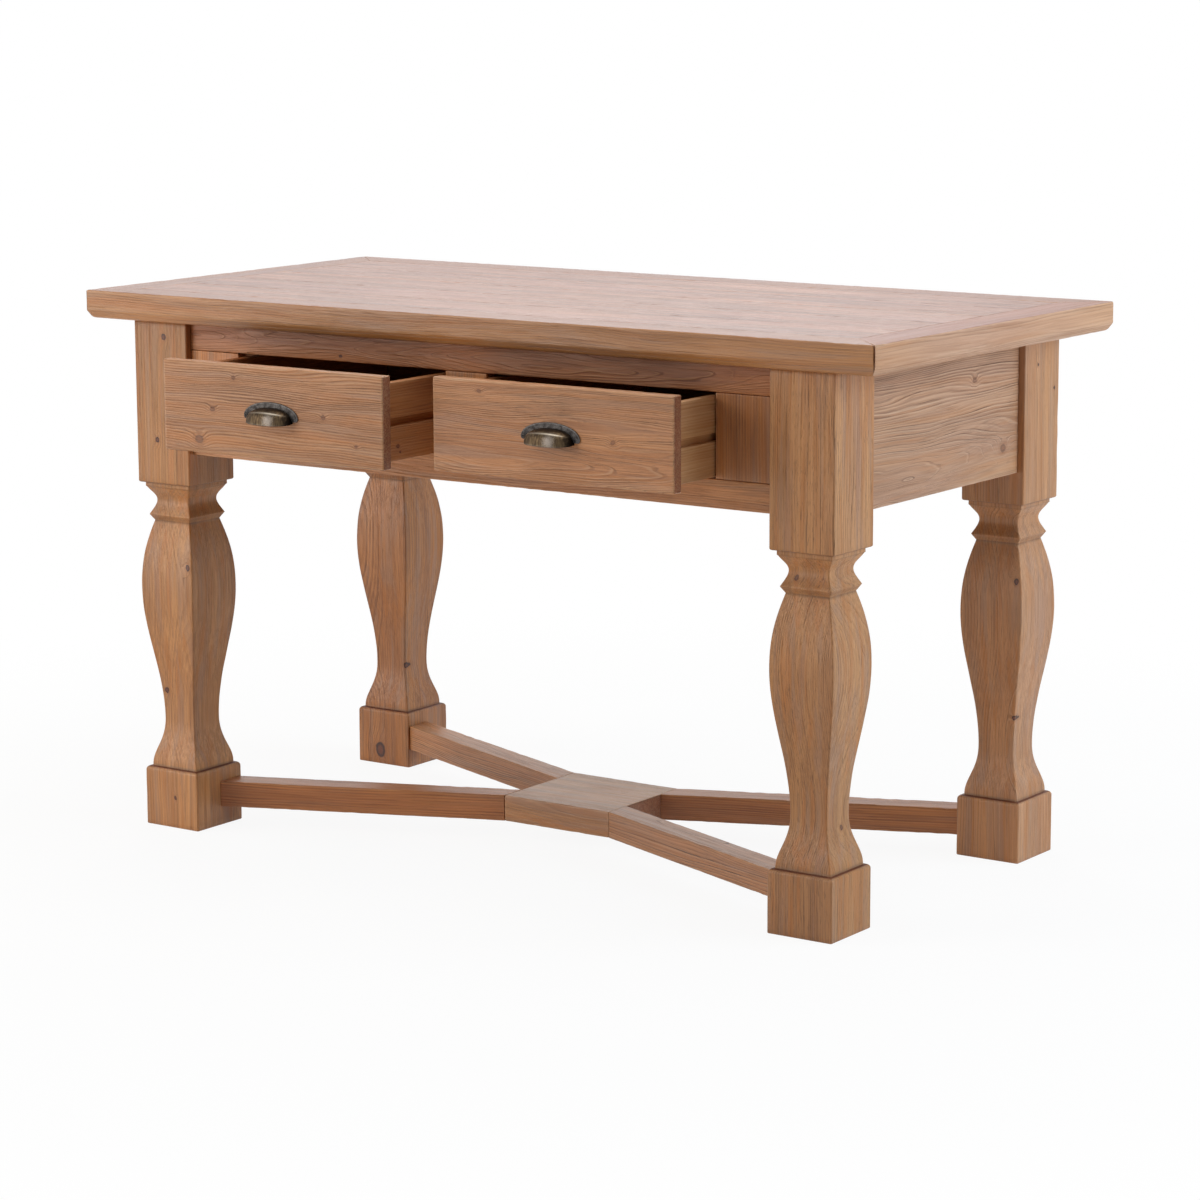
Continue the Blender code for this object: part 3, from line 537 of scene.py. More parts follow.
def brushedPine(title, look, middle):
    # old pine boards, wire brushed and limed: warm tan with grey lines in the soft wood, matt lacquer
    look = plainLook | look
    tone = plainTone | pineTones[look["tone"]]
    pine, tree, add, shader = newMaterial("brushedLimedPine_" + title)
    shader["IOR"].default_value = 1.5
    grain = axes[look["grain"]] if isinstance(look["grain"], str) else Vector(look["grain"]).normalized()
    second = axes["z"] if abs(grain.z) < 0.5 else axes["x"]
    third = grain.cross(second)
    turn = Matrix((grain, second, third))
    pith = (Vector(middle) / mm) + second * look["pith"][0] + third * look["pith"][1]
    shift = -(turn @ pith)
    shift.x += seedOf(title).uniform(500, 9000) + look["along"]
    spot = add("TexCoord", out="Object")
    place = add("Mapping", spot, shift, turn.to_euler(), (1 / mm,) * 3)
    near, lift = 50.0, 0.0
    for centre, radius, through in look["knots"]:
        reach = Vector([(grainSet["knotAlong"] if abs(part) > 0.9 else 1) / radius for part in grain])
        reach["xyz".index(through)] = grainSet["knotThrough"] / radius
        knot = add("Group", spot, node_tree=knotTree, Centre=centre, Reach=reach,
                   Push=radius * grainSet["knotPush"]).node.outputs
        near = add("Math", near, knot["Near"], operation="MINIMUM")
        lift = add("Math", lift, knot["Lift"], **plus)
    # the edge trait bares worn edges; the crease trait is painted shade, with some dirt, in a leg's creases
    edge, grime = (add("Attribute", out="Fac", attribute_name=name) for name in ("edge", "grime"))
    edge = add("Math", edge, look["worn"], **times)
    normal = add("NewGeometry", out="Normal")
    facing = add("Mapping", normal, Rotation=turn.to_euler(), vector_type="VECTOR")
    ends = add("VectorMath", normal, grain, out="Value", operation="DOT_PRODUCT")
    ends = add("MapRange", add("Math", ends, operation="ABSOLUTE"), 0.75, 0.95, **soft)
    tones = {part: (*(look["shade"] * level for level in toLinear(tone[part.lower()])[:3]), 1.0)
             for part in ("Light", "Dark")}
    # painted light and shade: a leg's tone is made lighter or darker from the floor up, standing in for how
    # the light falls on it
    if "bleach" in look:  # share of its tone that a leg keeps at the floor and under the worktop
        rise = add("MapRange", add("SeparateXYZ", spot, out=2), 0.05, 0.75, *look["bleach"])
        tones = {part: add("MixRGB", 1.0, colour, rise, **multiply) for part, colour in tones.items()}
    wood = add("Group", node_tree=grainTree, Place=place, Facing=facing, Lift=lift, Near=near, Edge=edge,
               RingGap=look["rings"], Warp=look["warp"], **tones, Line=toLinear(tone["line"]),
               Bare=toLinear(look.get("bare", tone["bare"])), Lines=tone["lines"] * look["lines"],
               Ticks=look["ticks"], Gloss=look.get("gloss", tone["gloss"]), EndGrain=ends,
               Knots=look["knotDeep"], Faded=look["faded"], Stained=tone["stained"], Grime=grime).node.outputs
    bump = add("Bump", Height=wood["Height"], Distance=mm, Strength=grainSet["relief"])
    tree.links.new(wood["Colour"], shader["Base Color"])
    tree.links.new(wood["Roughness"], shader["Roughness"])
    tree.links.new(bump, shader["Normal"])
    return pine


# Straight boards

def addBoard(node, look, slot, middle, outline, ends, endRound, place, wear=boardWear):
    # sweeps an outline between its ends and puts the dressed board in the scene
    name = camel(node)
    mesh, edge = sweep(name, outline, ends, endRound, wear, place)
    addPiece(name, mesh, brushedPine(name, look, middle), node, slot, edge=edge)


def makeBoard(node, look, slot):
    # a rectangle with rounded corners carried along the grain, inside the solid's box
    low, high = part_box(node)
    high.z -= look.get("lower", 0.0)
    middle, half = (low + high) / 2, (high - low) / 2
    g = "xyz".index(look["grain"])
    a, b = [axis for axis in range(3) if axis != g]
    r = min(look.get("round", boardSet["round"]), half[a] * 0.45, half[b] * 0.45)
    outline = roundOutline(rectangle(half[a], half[b]), r)

    def place(run, side, up):
        points = np.empty(run.shape + (3,))
        points[..., g], points[..., a], points[..., b] = middle[g] + run, middle[a] + side, middle[b] + up
        return points

    addBoard(node, look, slot, middle, outline, (-half[g], half[g]), r, place)


# lower is how far the drawer fronts stay under the top of their solids
stileLook = dict(tone="warm", lines=0.35, worn=0.1, grain="z", rings=3.8, warp=24)
frontLook = dict(ticks=0.45, grain="x", warp=46, round=2.8 * mm, lower=2 * mm)
frameBoards = {
    # painted shade: the rail over the drawers is darkened and its tone reddened to stand in for the shade
    # under the worktop's overhang
    "rail_over_drawers": dict(
        tone="rail", shade=0.95, lines=1.5, ticks=0.15, worn=0.15, grain="x", pith=(5, -45), rings=1.7,
        warp=46, knotDeep=1.0, knots=[((-249.9, -251.9, 818.2), 2.2, "y")]),
    "rail_under_drawers": dict(
        shade=1.3, lines=0.3, ticks=0.8, worn=0.3, grain="x", pith=(150, 50), rings=3.8, warp=30),
    "stile_left": dict(stileLook, shade=1.25, pith=(90, 60)),
    "stile_centre": dict(stileLook, shade=1.05, pith=(-110, 60)),
    "stile_right": dict(stileLook, shade=1.06, lines=0.45, pith=(130, 40), rings=4.6),
    "apron_right": dict(
        tone="panel", lines=1.15, ticks=0.1, grain="y", pith=(-75, -85), rings=3.4, warp=50, knotDeep=0.5,
        knots=[((664.5, 169.1, 797.3), 4.0, "x"), ((664.5, 261.7, 680.6), 6.5, "x")]),
    "apron_left": dict(
        grain="y", pith=(60, 95), rings=5.2, warp=55, knots=[((-664.5, 30.0, 760.0), 5.0, "x")]),
    "apron_back": dict(
        grain="x", pith=(-90, -70), rings=5.2, warp=55,
        knots=[((-210.0, 411.0, 720.0), 6.0, "y"), ((330.0, 411.0, 790.0), 4.5, "y")]),
    "stretcher_hub": dict(
        tone="leg", shade=1.08, lines=0.7, gloss=0.32, grain="x", pith=(-34, 18), rings=3.6, warp=46),
    "drawer_left_front": dict(
        frontLook, shade=0.9, lines=0.75, pith=(-210, -95), rings=3.4, knotDeep=0.55,
        knots=[((-326.0, -422.7, 795.5), 3.2, "y"), ((-370.8, -422.7, 743.5), 3.6, "y"),
               ((-400.3, -422.7, 693.7), 6.0, "y"), ((-147.1, -422.7, 745.5), 3.2, "y"),
               ((-83.1, -422.7, 705.4), 2.4, "y")]),
    "drawer_right_front": dict(
        frontLook, shade=1.09, lines=0.85, pith=(-34, -52), rings=2.0, knotDeep=0.45,
        knots=[((118.7, -376.6, 800.5), 3.0, "y"), ((363.9, -376.6, 740.3), 3.0, "y")]),
}
plankLook = dict(tone="top", grain="x", warp=40)
topBoards = {
    "top_plank_1": dict(along=0, pith=(-60, 170), rings=4.0),
    "top_plank_2": dict(along=700, pith=(-80, -150), rings=4.2),
    "top_plank_3": dict(along=350, pith=(-50, 140), rings=3.8),
    "top_plank_4": dict(along=900, pith=(-90, -170), rings=4.0),
    "top_plank_5": dict(along=500, pith=(-70, 130), rings=4.2),
}
for node, look in frameBoards.items():
    makeBoard(node, look, "frame_pine")
for node, look in topBoards.items():
    makeBoard(node, plankLook | look, "top_pine")
print("boards:", len(frameBoards), "in the frame and", len(topBoards), "planks")


# Worktop border

# a mitre's gape starts gapeFrom over the underside and grows to its full width over gapeOver
borderSet = dict(
    wide=65 * mm, bevelIn=7.5 * mm, bevelUp=12.5 * mm, bevelRound=8 * mm, topRound=2.2 * mm,
    innerLowRound=0.8 * mm, innerTopRound=1.0 * mm, endRound=0.6 * mm, frontClear=0.45 * mm,
    sideClear=0.1 * mm, plankClear=0.2 * mm, gapeFrom=4 * mm, gapeOver=16 * mm, cell=6 * mm)
# open is how far the mitre gapes at the outer corner, in mm, at the start and at the end of the board
# the borders' upper faces are greyed, partly as a painted sheen
borderLook = dict(tone="border", warp=34, faded=1.0, worn=0.5)
borderLooks = {
    "top_border_front": dict(grain="x", pith=(-140, 60), rings=4.2, open=(0.5, 2.0)),
    "top_border_back": dict(grain="x", pith=(-120, -50), rings=4.2, open=(0.5, 0.5)),
    "top_border_left": dict(grain="y", pith=(-110, 60), rings=4.0, open=(0.4, 0.4)),
    # painted light: the right border is made paler to stand in for the brighter light and sheen on the
    # worktop's right end
    "top_border_right": dict(
        tone="panel", shade=1.16, lines=0.25, faded=0.9, grain="y", pith=(-130, -60), rings=4.0,
        open=(1.6, 0.4)),
}


def makeBorder(node, look):
    # a bevelled section carried from mitre to mitre
    low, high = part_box(node)
    middle = (low + high) / 2
    g = "xyz".index(look["grain"])
    a = 1 - g
    topMiddle = (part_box("top_border_front")[0][1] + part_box("top_border_back")[1][1]) / 2 if a == 1 else 0.0
    away = 1.0 if middle[a] > topMiddle else -1.0
    outer = abs((high[a] if away > 0 else low[a]) - topMiddle)
    inner = outer - borderSet["wide"] + borderSet["plankClear"]
    zLow, zHigh = low[2], high[2]
    corners = [(inner, zLow), (outer - borderSet["bevelIn"], zLow), (outer, zLow + borderSet["bevelUp"]),
               (outer, zHigh), (inner, zHigh)]
    radii = [borderSet[part + "Round"] for part in ("innerLow", "bevel", "bevel", "top", "innerTop")]
    outline = roundOutline(corners, np.array(radii), borderSet["cell"])
    across, up = outline[0].T
    reach = (high[g] - low[g]) / 2 - (outer - across) - borderSet["frontClear" if g == 0 else "sideClear"]
    # the gape is widest at the outer corner, closing inwards and towards the underside
    inwards = np.clip((across - inner) / (outer - inner), 0, 1) ** 3
    upwards = np.clip((up - zLow - borderSet["gapeFrom"]) / borderSet["gapeOver"], 0, 1)
    start, end = (gape * mm * inwards * upwards for gape in look["open"])

    def place(run, side, up):
        points = np.empty(run.shape + (3,))
        points[..., g], points[..., a], points[..., 2] = middle[g] + run, topMiddle + away * side, up
        return points

    ends = (start - reach, reach - end)
    addBoard(node, look, "top_pine", middle, outline, ends, borderSet["endRound"], place)


for node, look in borderLooks.items():
    makeBorder(node, borderLook | look)
print("worktop: four mitred border boards")


# Legs

legSet = {
    # widths and rises in mm, from the floor up
    "foot": 113.6, "footTall": 100.0, "footRound": 6.5, "footEase": 1.0, "flare": 97.0, "waist": 64.8,
    "belly": 112.0, "collar": 77.0, "bead": 89.4, "neck": 70.8, "fillet": 96.6, "block": 112.4,
    "flareRise": 81.0, "waistRise": 224.0, "bellyRise": 113.0, "collarRise": 10.0, "beadFlat": 1.2,
    "beadRise": 24.0, "neckRise": 23.0, "filletRise": 8.0, "blockRound": 3.0, "blockEase": 0.8, "arris": 2.4,
    # each curve's pulls at its start and end as shares of its rise, its steps and its leans
    "flareCurve": ((0.32, 0.50), 22), "waistCurve": ((0.36, 0.34), 40),
    "bellyCurve": ((0.42, 0.32), 26, 0.0, 0.62), "beadCurve": ((0.45, 0.28), 12, 0.62),
    "neckCurve": ((0.40, 0.40), 12, 0.0, 0.42),
    # painted shade, with some dirt, in the creases: height, how far it spreads and how dark it is
    "creases": [(100.5, 2.2, 0.8), (518.0, 2.2, 0.8), (523.5, 4.5, 0.45), (575.5, 1.6, 0.4),
                (583.0, 2.0, 0.6)],
    # as a board's wear, with wide as a share of the way round
    "wear": dict(edge=0.3 * mm, face=0.25 * mm, wave=0.11, long=0.12, wide=0.3),
}


def curve(start, end, pulls, steps, startLean=0.0, endLean=0.0):
    # cubic curve between (half width, height) points, upright at an end without a lean; its start is left out
    start, end = np.array(start), np.array(end)
    step, rise = end - start
    t = np.linspace(0, 1, steps + 1)[1:, None]
    startPull = np.array([start[0] + startLean * step, start[1] + pulls[0] * rise])
    endPull = np.array([end[0] - endLean * step, end[1] - pulls[1] * rise])
    u = 1 - t
    return start * u ** 3 + 3 * startPull * t * u ** 2 + 3 * endPull * t ** 2 * u + end * t ** 3


def straight(start, end, steps):  # its start is left out too
    t = np.linspace(0, 1, steps + 1)[1:, None]
    return np.array(start) * (1 - t) + np.array(end) * t


def corner(middle, radius, first, last, steps):  # an arc between two angles in degrees
    angle = np.radians(np.linspace(first, last, steps + 1))
    return np.stack([middle[0] + radius * np.cos(angle), middle[1] + radius * np.sin(angle)], 1)


def legProfile(top):
    # half width against height in mm: the solid's curves with more steps, and corners eased by parts of a mm
    s = legSet
    flare, waist, belly, collar, bead, neck, fillet, foot, block = (
        s[part] / 2 for part in "flare waist belly collar bead neck fillet foot block".split())
    flat, footRound, blockRound, z = s["beadFlat"], s["footRound"], s["blockRound"], s["footTall"]
    rows = [np.array([[foot - s["footEase"], 0.0], [foot, s["footEase"]]])]
    rows.append(straight(rows[-1][-1], (foot, z - footRound), 12))
    rows.append(corner((foot - footRound, z - footRound), footRound, 0, 90, 6)[1:])
    rows.append(np.array([[flare + 0.6, z + 0.2], [flare, z + flat]]))
    for part, half in (("flare", waist), ("waist", belly), ("belly", collar)):
        z += s[part + "Rise"]
        rows.append(curve(rows[-1][-1], (half, z), *s[part + "Curve"]))
    z += s["collarRise"]
    rows.append(straight(rows[-1][-1], (bead - 0.5, z - flat * 0.8), 4))
    rows.append(np.array([[bead, z - flat / 3], [bead, z + flat / 3]]))
    for part, half in (("bead", neck), ("neck", fillet - flat)):
        z += s[part + "Rise"]
        rows.append(curve(rows[-1][-1], (half, z), *s[part + "Curve"]))
    rows.append(np.array([[fillet - 0.3, z + 0.35], [fillet, z + flat]]))
    z += s["filletRise"]
    rows.append(straight(rows[-1][-1], (fillet, z - 0.4), 3))
    rows.append(np.array([[fillet + 0.4, z]]))
    rows.append(corner((block - blockRound, z + blockRound), blockRound, -90, 0, 6))
    rows.append(straight(rows[-1][-1], (block, top - s["blockEase"]), 30))
    rows.append(np.array([[block - s["blockEase"], top]]))
    return np.concatenate(rows)


def makeLeg(node, look):
    # a square with rounded arrises whose half width follows the turned profile, worn a little at the arrises
    low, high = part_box(node)
    middle = (low + high) / 2
    halfWide, height = (legProfile(high[2] / mm) * mm).T
    arris, wear = legSet["arris"] * mm, legSet["wear"]
    squareRound, squareCell, edgeWide = 0.04, 0.09, 0.07     # as shares of the half width
    flat, normal, edge = roundOutline(rectangle(1, 1), squareRound, squareCell)
    # the outline as points on an inner square plus a rounding of its own
    inside = flat - normal * squareRound
    inside /= np.abs(inside).max()
    edge = np.maximum(edge, np.exp(-((1 - np.abs(inside).min(1)) / edgeWide) ** 2))
    chance = seedOf(node)
    # each arris wears its own way
    worn = height[:, None] + 0.37 * np.sign(inside[:, 0]) + 0.81 * np.sign(inside[:, 1])
    worn = ripple(chance, worn, wear["wave"]) ** 2
    uneven = ripple(chance, height, wear["long"])[:, None]
    uneven = uneven * ripple(chance, np.arange(len(flat)) / len(flat), wear["wide"])[None]
    deep = wornDepth(wear, worn, uneven, edge[None])
    side = inside[None] * (halfWide - arris)[:, None, None] + normal[None] * (arris - deep)[..., None]
    tall = np.broadcast_to(height[:, None, None], side.shape[:2] + (1,))
    name = camel(node)
    mesh = meshOf(name, tube(np.concatenate([side + np.array(middle[:2]), tall], -1)))
    # painted shade with some dirt in the leg's creases, darkest at each crease and fading as a bell round it
    grime = np.max([dark * np.exp(-((height / mm - rise) / reach) ** 2)
                    for rise, reach, dark in legSet["creases"]], 0)
    addPiece(name, mesh, brushedPine(name, look, middle), node, "frame_pine",
             edge=edge[None] * (0.5 + 0.5 * worn), grime=grime[:, None] * (0.75 + 0.25 * uneven))


legLook = dict(grain="z", warp=18, rings=3.6, ticks=0.6, knotDeep=1.0)
legLooks = {
    # the pairs that make a leg lighter or darker at the floor and under the worktop are painted light and
    # shade
    "leg_front_left": dict(
        tone="leg", shade=0.95, bleach=(1.36, 0.88), lines=0.5, worn=0.5, bare="#8C5830", pith=(80, 95),
        knots=[((-611.9, -263.0, 827.9), 4.0, "y"), ((-630.9, -263.0, 656.1), 3.6, "y"),
               ((-574.1, -262.3, 446.5), 4.2, "y"), ((-643.0, -242.8, 229.5), 3.6, "y"),
               ((-611.3, -263.7, 51.7), 2.6, "y")]),
    "leg_front_right": dict(
        tone="leg", shade=0.96, bleach=(0.90, 1.22), lines=0.7, ticks=0.9, worn=0.35, bare="#A8744A",
        pith=(-160, 70), rings=3.2, knotDeep=0.85,
        knots=[((600.8, -246.9, 542.7), 3.4, "y"), ((656.5, -200.1, 162.2), 3.4, "x")]),
    # partly painted shade: the warm tone reddens the back left leg's faces that stand in shade
    "leg_back_left": dict(
        tone="warm", shade=0.9, bleach=(1.14, 0.97), lines=0.55, bare="#5A3A26", pith=(-60, -95),
        knots=[((-627.3, 310.0, 25.5), 10.0, "y"), ((-587.0, 331.0, 181.0), 3.6, "y"),
               ((-577.5, 334.0, 224.0), 3.0, "y")]),
    # partly painted light: the grey tone stands in for the cooler light on the back right leg's right faces
    "leg_back_right": dict(
        tone="grey", shade=1.04, lines=0.5, worn=0.25, pith=(90, 85),
        knots=[((663.1, 313.8, 459.4), 3.8, "y"), ((653.7, 331.8, 234.0), 3.0, "y"),
               ((667.5, 353.5, 803.9), 2.6, "x"), ((667.5, 408.3, 760.8), 2.6, "x")]),
}
for node, look in legLooks.items():
    makeLeg(node, legLook | look)
print("legs:", len(legLooks))


# Stretcher arms

armLooks = {
    # partly painted light and shade: the front left arm is made paler to lift the shadow at its end by the
    # foot, and the rail tone of two arms stands in for the warmer light in shade
    "stretcher_arm_front_left": dict(tone="rail", shade=1.2, lines=1.3, pith=(-110, 40), rings=4.0, warp=30),
    "stretcher_arm_front_right": dict(tone="warm", shade=0.95, pith=(-48, -22), rings=3.4, warp=34,
                                      knots=[((402.8, -180.6, 75.6), 4.0, "z")]),
    "stretcher_arm_back_left": dict(tone="warm", shade=1.16, pith=(-60, 26), rings=3.4, warp=34),
    "stretcher_arm_back_right": dict(tone="rail", shade=1.05, pith=(-100, 45), rings=4.0, warp=30),
}
armSet = dict(endRound=0.5 * mm, gloss=0.34)


def makeArm(node, look):
    # a rectangle carried on a slant from the hub to a foot, with both ends square to the island's length
    low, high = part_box(node)
    points = np.empty(len(nodes[node].data.vertices) * 3, np.float32)
    nodes[node].data.vertices.foreach_get("co", points)
    points = points.reshape(-1, 3)
    ends = [points[np.abs(points[:, 0] - x) < 2 * mm][:, 1] for x in (low[0], high[0])]
    middles = [(end.min() + end.max()) / 2 for end in ends]
    wide = np.mean([end.max() - end.min() for end in ends]) / 2
    tall = (high[2] - low[2]) / 2
    slope = (middles[1] - middles[0]) / (high[0] - low[0])
    outline = roundOutline(rectangle(wide, tall), boardSet["round"])

    def place(run, side, up):
        return np.stack([run, middles[0] + slope * (run - low[0]) + side, (low[2] + high[2]) / 2 + up], -1)

    look = dict(look, grain=(1.0, slope, 0.0), gloss=armSet["gloss"])
    addBoard(node, look, "frame_pine", (low + high) / 2, outline, (low[0], high[0]), armSet["endRound"],
             place)


for node, look in armLooks.items():
    makeArm(node, look)
print("stretcher:", len(armLooks), "arms and a hub")


# Drawer boxes and the strips that carry them

drawerLook = dict(tone="drawer", pith=(-150, 60), rings=4.0, warp=34, worn=0.3)
# rounds are the radii in mm of the section's corners, from the lower one inside, anticlockwise
sideSet = dict(
    thick=15 * mm, groove=(734.65, 748.05), grooveDeep=8 * mm, slot=(689.5, 696.1), slotDeep=6 * mm,
    endRound=0.4 * mm, rounds=(1.0, 1.0, 0.6, 0.3, 0.3, 0.6, 1.4, 1.4, 0.4, 0.2, 0.2, 0.4))
sideWear = dict(boardWear, edge=0.25 * mm, face=0.1 * mm)
# painted light and shade: the left drawer's right side, which stands in shade, is darker; the right drawer's
# side, in the light, takes the pale tone
sideLooks = {
    "drawer_left_side_right": dict(
        shade=0.85, knots=[((-42.5, -370.4, 703.9), 2.6, "x"), ((-42.5, -365.6, 694.0), 1.8, "x")]),
    "drawer_right_side_right": dict(tone="pale"),
}


def makeSide(node):
    # a board with a runner's groove outside and the bottom's slot inside, carried from the front to the back
    low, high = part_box(node)
    middle = (low + high) / 2
    outward = 1.0 if node.endswith("right") else -1.0
    thick, zLow, zHigh = sideSet["thick"] / 2, low[2], high[2]
    grooveLow, grooveHigh, slotLow, slotHigh = (z * mm for z in sideSet["groove"] + sideSet["slot"])
    deep, slot = thick - sideSet["grooveDeep"], sideSet["slotDeep"] - thick
    corners = [(-thick, zLow), (thick, zLow), (thick, grooveLow), (deep, grooveLow), (deep, grooveHigh),
               (thick, grooveHigh), (thick, zHigh), (-thick, zHigh), (-thick, slotHigh), (slot, slotHigh),
               (slot, slotLow), (-thick, slotLow)]
    outline = roundOutline(corners, np.array(sideSet["rounds"]) * mm, arcSteps=3)

    def place(run, side, up):
        return np.stack([middle[0] + outward * side, middle[1] + run, up], -1)

    ends = (high[1] - low[1]) / 2
    look = {**drawerLook, "grain": "y", **sideLooks.get(node, {})}
    addBoard(node, look, "drawer_pine", middle, outline, (-ends, ends), sideSet["endRound"], place, sideWear)


for node in [name for name, solid in nodes.items() if not solid.hide_render and "pull" not in name]:
    if "_side_" in node:
        makeSide(node)
    else:
        low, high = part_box(node)
        longest = max(range(3), key=lambda axis: (high - low)[axis])
        # the inside pieces take the darkened inside tone, painted shade
        makeBoard(node, dict(drawerLook, tone="inside", grain="xyz"[longest]), "drawer_pine")
print("drawer boxes: sides, backs, bottoms and what carries them")


# Cup pulls

pullSet = {
    # sizes in mm: a thin rim on the drawer front and a cup open below, its lip higher at the wall
    "wide": 108.5, "tall": 34.5, "rimTop": 8.5, "rimSide": 10.5, "rimThick": 2.2, "rimUp": 6.0,
    "endRound": 4.7, "rimRound": 1.9, "rimFlat": 1.2, "lipRise": 3.0, "reach": 25.5, "wall": 2.0,
    "fullness": 2.5, "sink": 0.5, "poleGap": 0.03, "turns": 84, "rises": 34, "lipSteps": 6, "lipLift": 0.9,
    "lipNear": 0.05,
    # painted highlights on the lip, the left end and the crease where the outside turns upwards, standing in
    # for
    # reflections: the crease's lean and spread in degrees, its middle and reach in mm and how bright it is
    # away from its middle
    "lipBright": 0.1, "endBright": 0.3, "crease": (44, 3.5, 13, 16, 0.3),
}
screwSet = dict(wide=6.2, tall=1.9, shank=2.6, long=13.6, slot=0.16, slotDeep=0.8, turn=35, ball=1.35)


def fullOval(turn, rise, halves):
    # a sphere drawn out towards a rounded box: each direction over the power sum of its parts, then scaled
    fullness = pullSet["fullness"]
    way = np.stack([np.cos(turn) * np.cos(rise), -np.sin(turn) * np.cos(rise), np.sin(rise)], -1)
    size = (np.abs(way) ** fullness).sum(-1) ** (1 / fullness)
    return way / size[..., None] * np.array(halves)


def lipStart(turn, halves):
    # the rise at which the oval meets the lip's slanting plane, by halving
    low, high = np.zeros_like(turn), np.full_like(turn, math.pi / 3)
    for _ in range(40):
        middle = (low + high) / 2
        point = fullOval(turn, middle, halves)
        under = point[..., 2] < pullSet["lipRise"] * (1 + point[..., 1] / pullSet["reach"])
        low, high = np.where(under, middle, low), np.where(under, high, middle)
    return (low + high) / 2


def cupSurface():
    # rows go round from wall to wall, columns from the pole inside, round the lip and up to the pole outside
    s = pullSet
    halves = np.array([s["wide"] / 2 - s["rimSide"], s["reach"], s["tall"] - s["rimTop"]])
    turn = np.linspace(0, math.pi, s["turns"] + 1)
    share = np.linspace(0, 1, s["rises"])[None]
    top = math.pi / 2 - s["poleGap"]
    outer, inner = (lipStart(turn, size)[:, None] for size in (halves, halves - s["wall"]))
    inside = fullOval(turn[:, None], top + (inner - top) * share, halves - s["wall"])
    outside = fullOval(turn[:, None], outer + (top - outer) * share, halves)
    # the lip is half a round between the two walls, kept over the lip's plane
    first, last = inside[:, -1], outside[:, 0]
    angle = np.linspace(0, math.pi, s["lipSteps"] + 2)[1:-1]
    middle, reach = (first + last) / 2, (last - first) / 2
    lip = middle[:, None] - reach[:, None] * np.cos(angle)[None, :, None]
    nearIn, nearOut = np.exp(-((share - 1) / s["lipNear"]) ** 2), np.exp(-(share / s["lipNear"]) ** 2)
    inside[..., 2] += s["lipLift"] * nearIn
    outside[..., 2] += s["lipLift"] * nearOut
    lip[..., 2] += s["lipLift"] * (1 - np.sin(angle))[None]
    points = np.concatenate([inside, lip, outside], 1)
    points[..., 1] -= s["sink"] * (1 + points[..., 1] / s["reach"])
    rows, columns = points.shape[:2]
    poles = np.array([[0, -s["sink"], halves[2] - s["wall"]], [0, -s["sink"], halves[2]]])
    count = rows * columns
    row = np.arange(rows) * columns
    fanIn = np.stack([np.full(rows - 1, count), row[:-1], row[1:]], 1)
    fanOut = np.stack([np.full(rows - 1, count + 1), row[1:] + columns - 1, row[:-1] + columns - 1], 1)
    walls = [np.concatenate([[count + 1], np.arange(columns)[::-1], [count]]),
             np.concatenate([[count], np.arange(columns) + (rows - 1) * columns, [count + 1]])]
    # painted highlights at the lip, along the crease and on the left end, carried in the edge trait
    highlight = s["lipBright"] * np.concatenate([nearIn[0], np.ones(s["lipSteps"]), nearOut[0]])[None]
    slope = np.abs(outside / halves) ** (s["fullness"] - 1) / halves
    lean = np.degrees(np.arcsin(slope[..., 2] / np.linalg.norm(slope, axis=-1)))
    at, spread, centre, wide, least = s["crease"]
    crease = np.zeros((rows, columns))
    crease[:, -s["rises"]:] = np.exp(-((lean - at) / spread) ** 2) * (
        least + (1 - least) * np.exp(-((outside[..., 0] - centre) / wide) ** 2))
    crease = np.maximum(crease, np.exp(-((math.pi - turn[:, None]) / s["endBright"]) ** 2))
    edge = np.concatenate([np.maximum(highlight, crease).ravel(), [0, 0]])
    faces = [gridQuads(rows, columns, False), fanIn, fanOut]
    return np.concatenate([points.reshape(-1, 3), poles]), faces, walls, edge


def rimSurface():
    # half an oval over two rounded corners, carried from the wall out and over a soft edge
    s = pullSet
    half, middle, r, thick = s["wide"] / 2, s["rimUp"] + s["endRound"], s["rimRound"], s["rimThick"]
    angle = np.linspace(0, math.pi, 73)
    oval = np.stack([half * np.cos(angle), middle + (s["tall"] - middle) * np.sin(angle)], 1)
    ovalOut = np.stack([np.cos(angle) / half, np.sin(angle) / (s["tall"] - middle)], 1)
    ovalOut /= np.linalg.norm(ovalOut, axis=1)[:, None]
    left = corner((-half + s["endRound"], middle), s["endRound"], 180, 270, 7)[1:]
    right = corner((half - s["endRound"], middle), s["endRound"], 270, 360, 7)[:-1]
    base = np.linspace(left[-1], right[0], 22)[1:-1]
    flat = np.concatenate([oval, left, base, right])
    out = np.concatenate([ovalOut, corner((0, 0), 1, 180, 270, 7)[1:], np.tile([0.0, -1.0], (len(base), 1)),
                          corner((0, 0), 1, 270, 360, 7)[:-1]])
    turn = np.linspace(0, math.pi / 2, 7)
    inset = np.concatenate([[0.0], r * (1 - np.cos(turn)), [r + s["rimFlat"]]])
    height = np.concatenate([[0.0], thick - r + r * np.sin(turn), [thick]])
    side = flat[None] - out[None] * inset[:, None, None]
    points = np.stack([side[..., 0], np.broadcast_to(-height[:, None], side.shape[:2]), side[..., 1]], -1)
    return *tube(points), np.repeat(np.concatenate([[0.3], np.sin(2 * turn), [0.0]]), len(flat))


def makePull(node, metal):
    low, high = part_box(node)
    seat = np.array([(low[0] + high[0]) / 2, high[1], low[2]])
    cup, rim = cupSurface(), rimSurface()
    mesh = meshOf(camel(node), (cup[0] * mm + seat, *cup[1:3]), (rim[0] * mm + seat, *rim[1:3]))
    ofRim = np.concatenate([np.zeros(len(cup[0])), np.ones(len(rim[0]))])
    addPiece(camel(node), mesh, metal, node, "aged_brass", rim=ofRim, edge=np.concatenate([cup[3], rim[3]]))


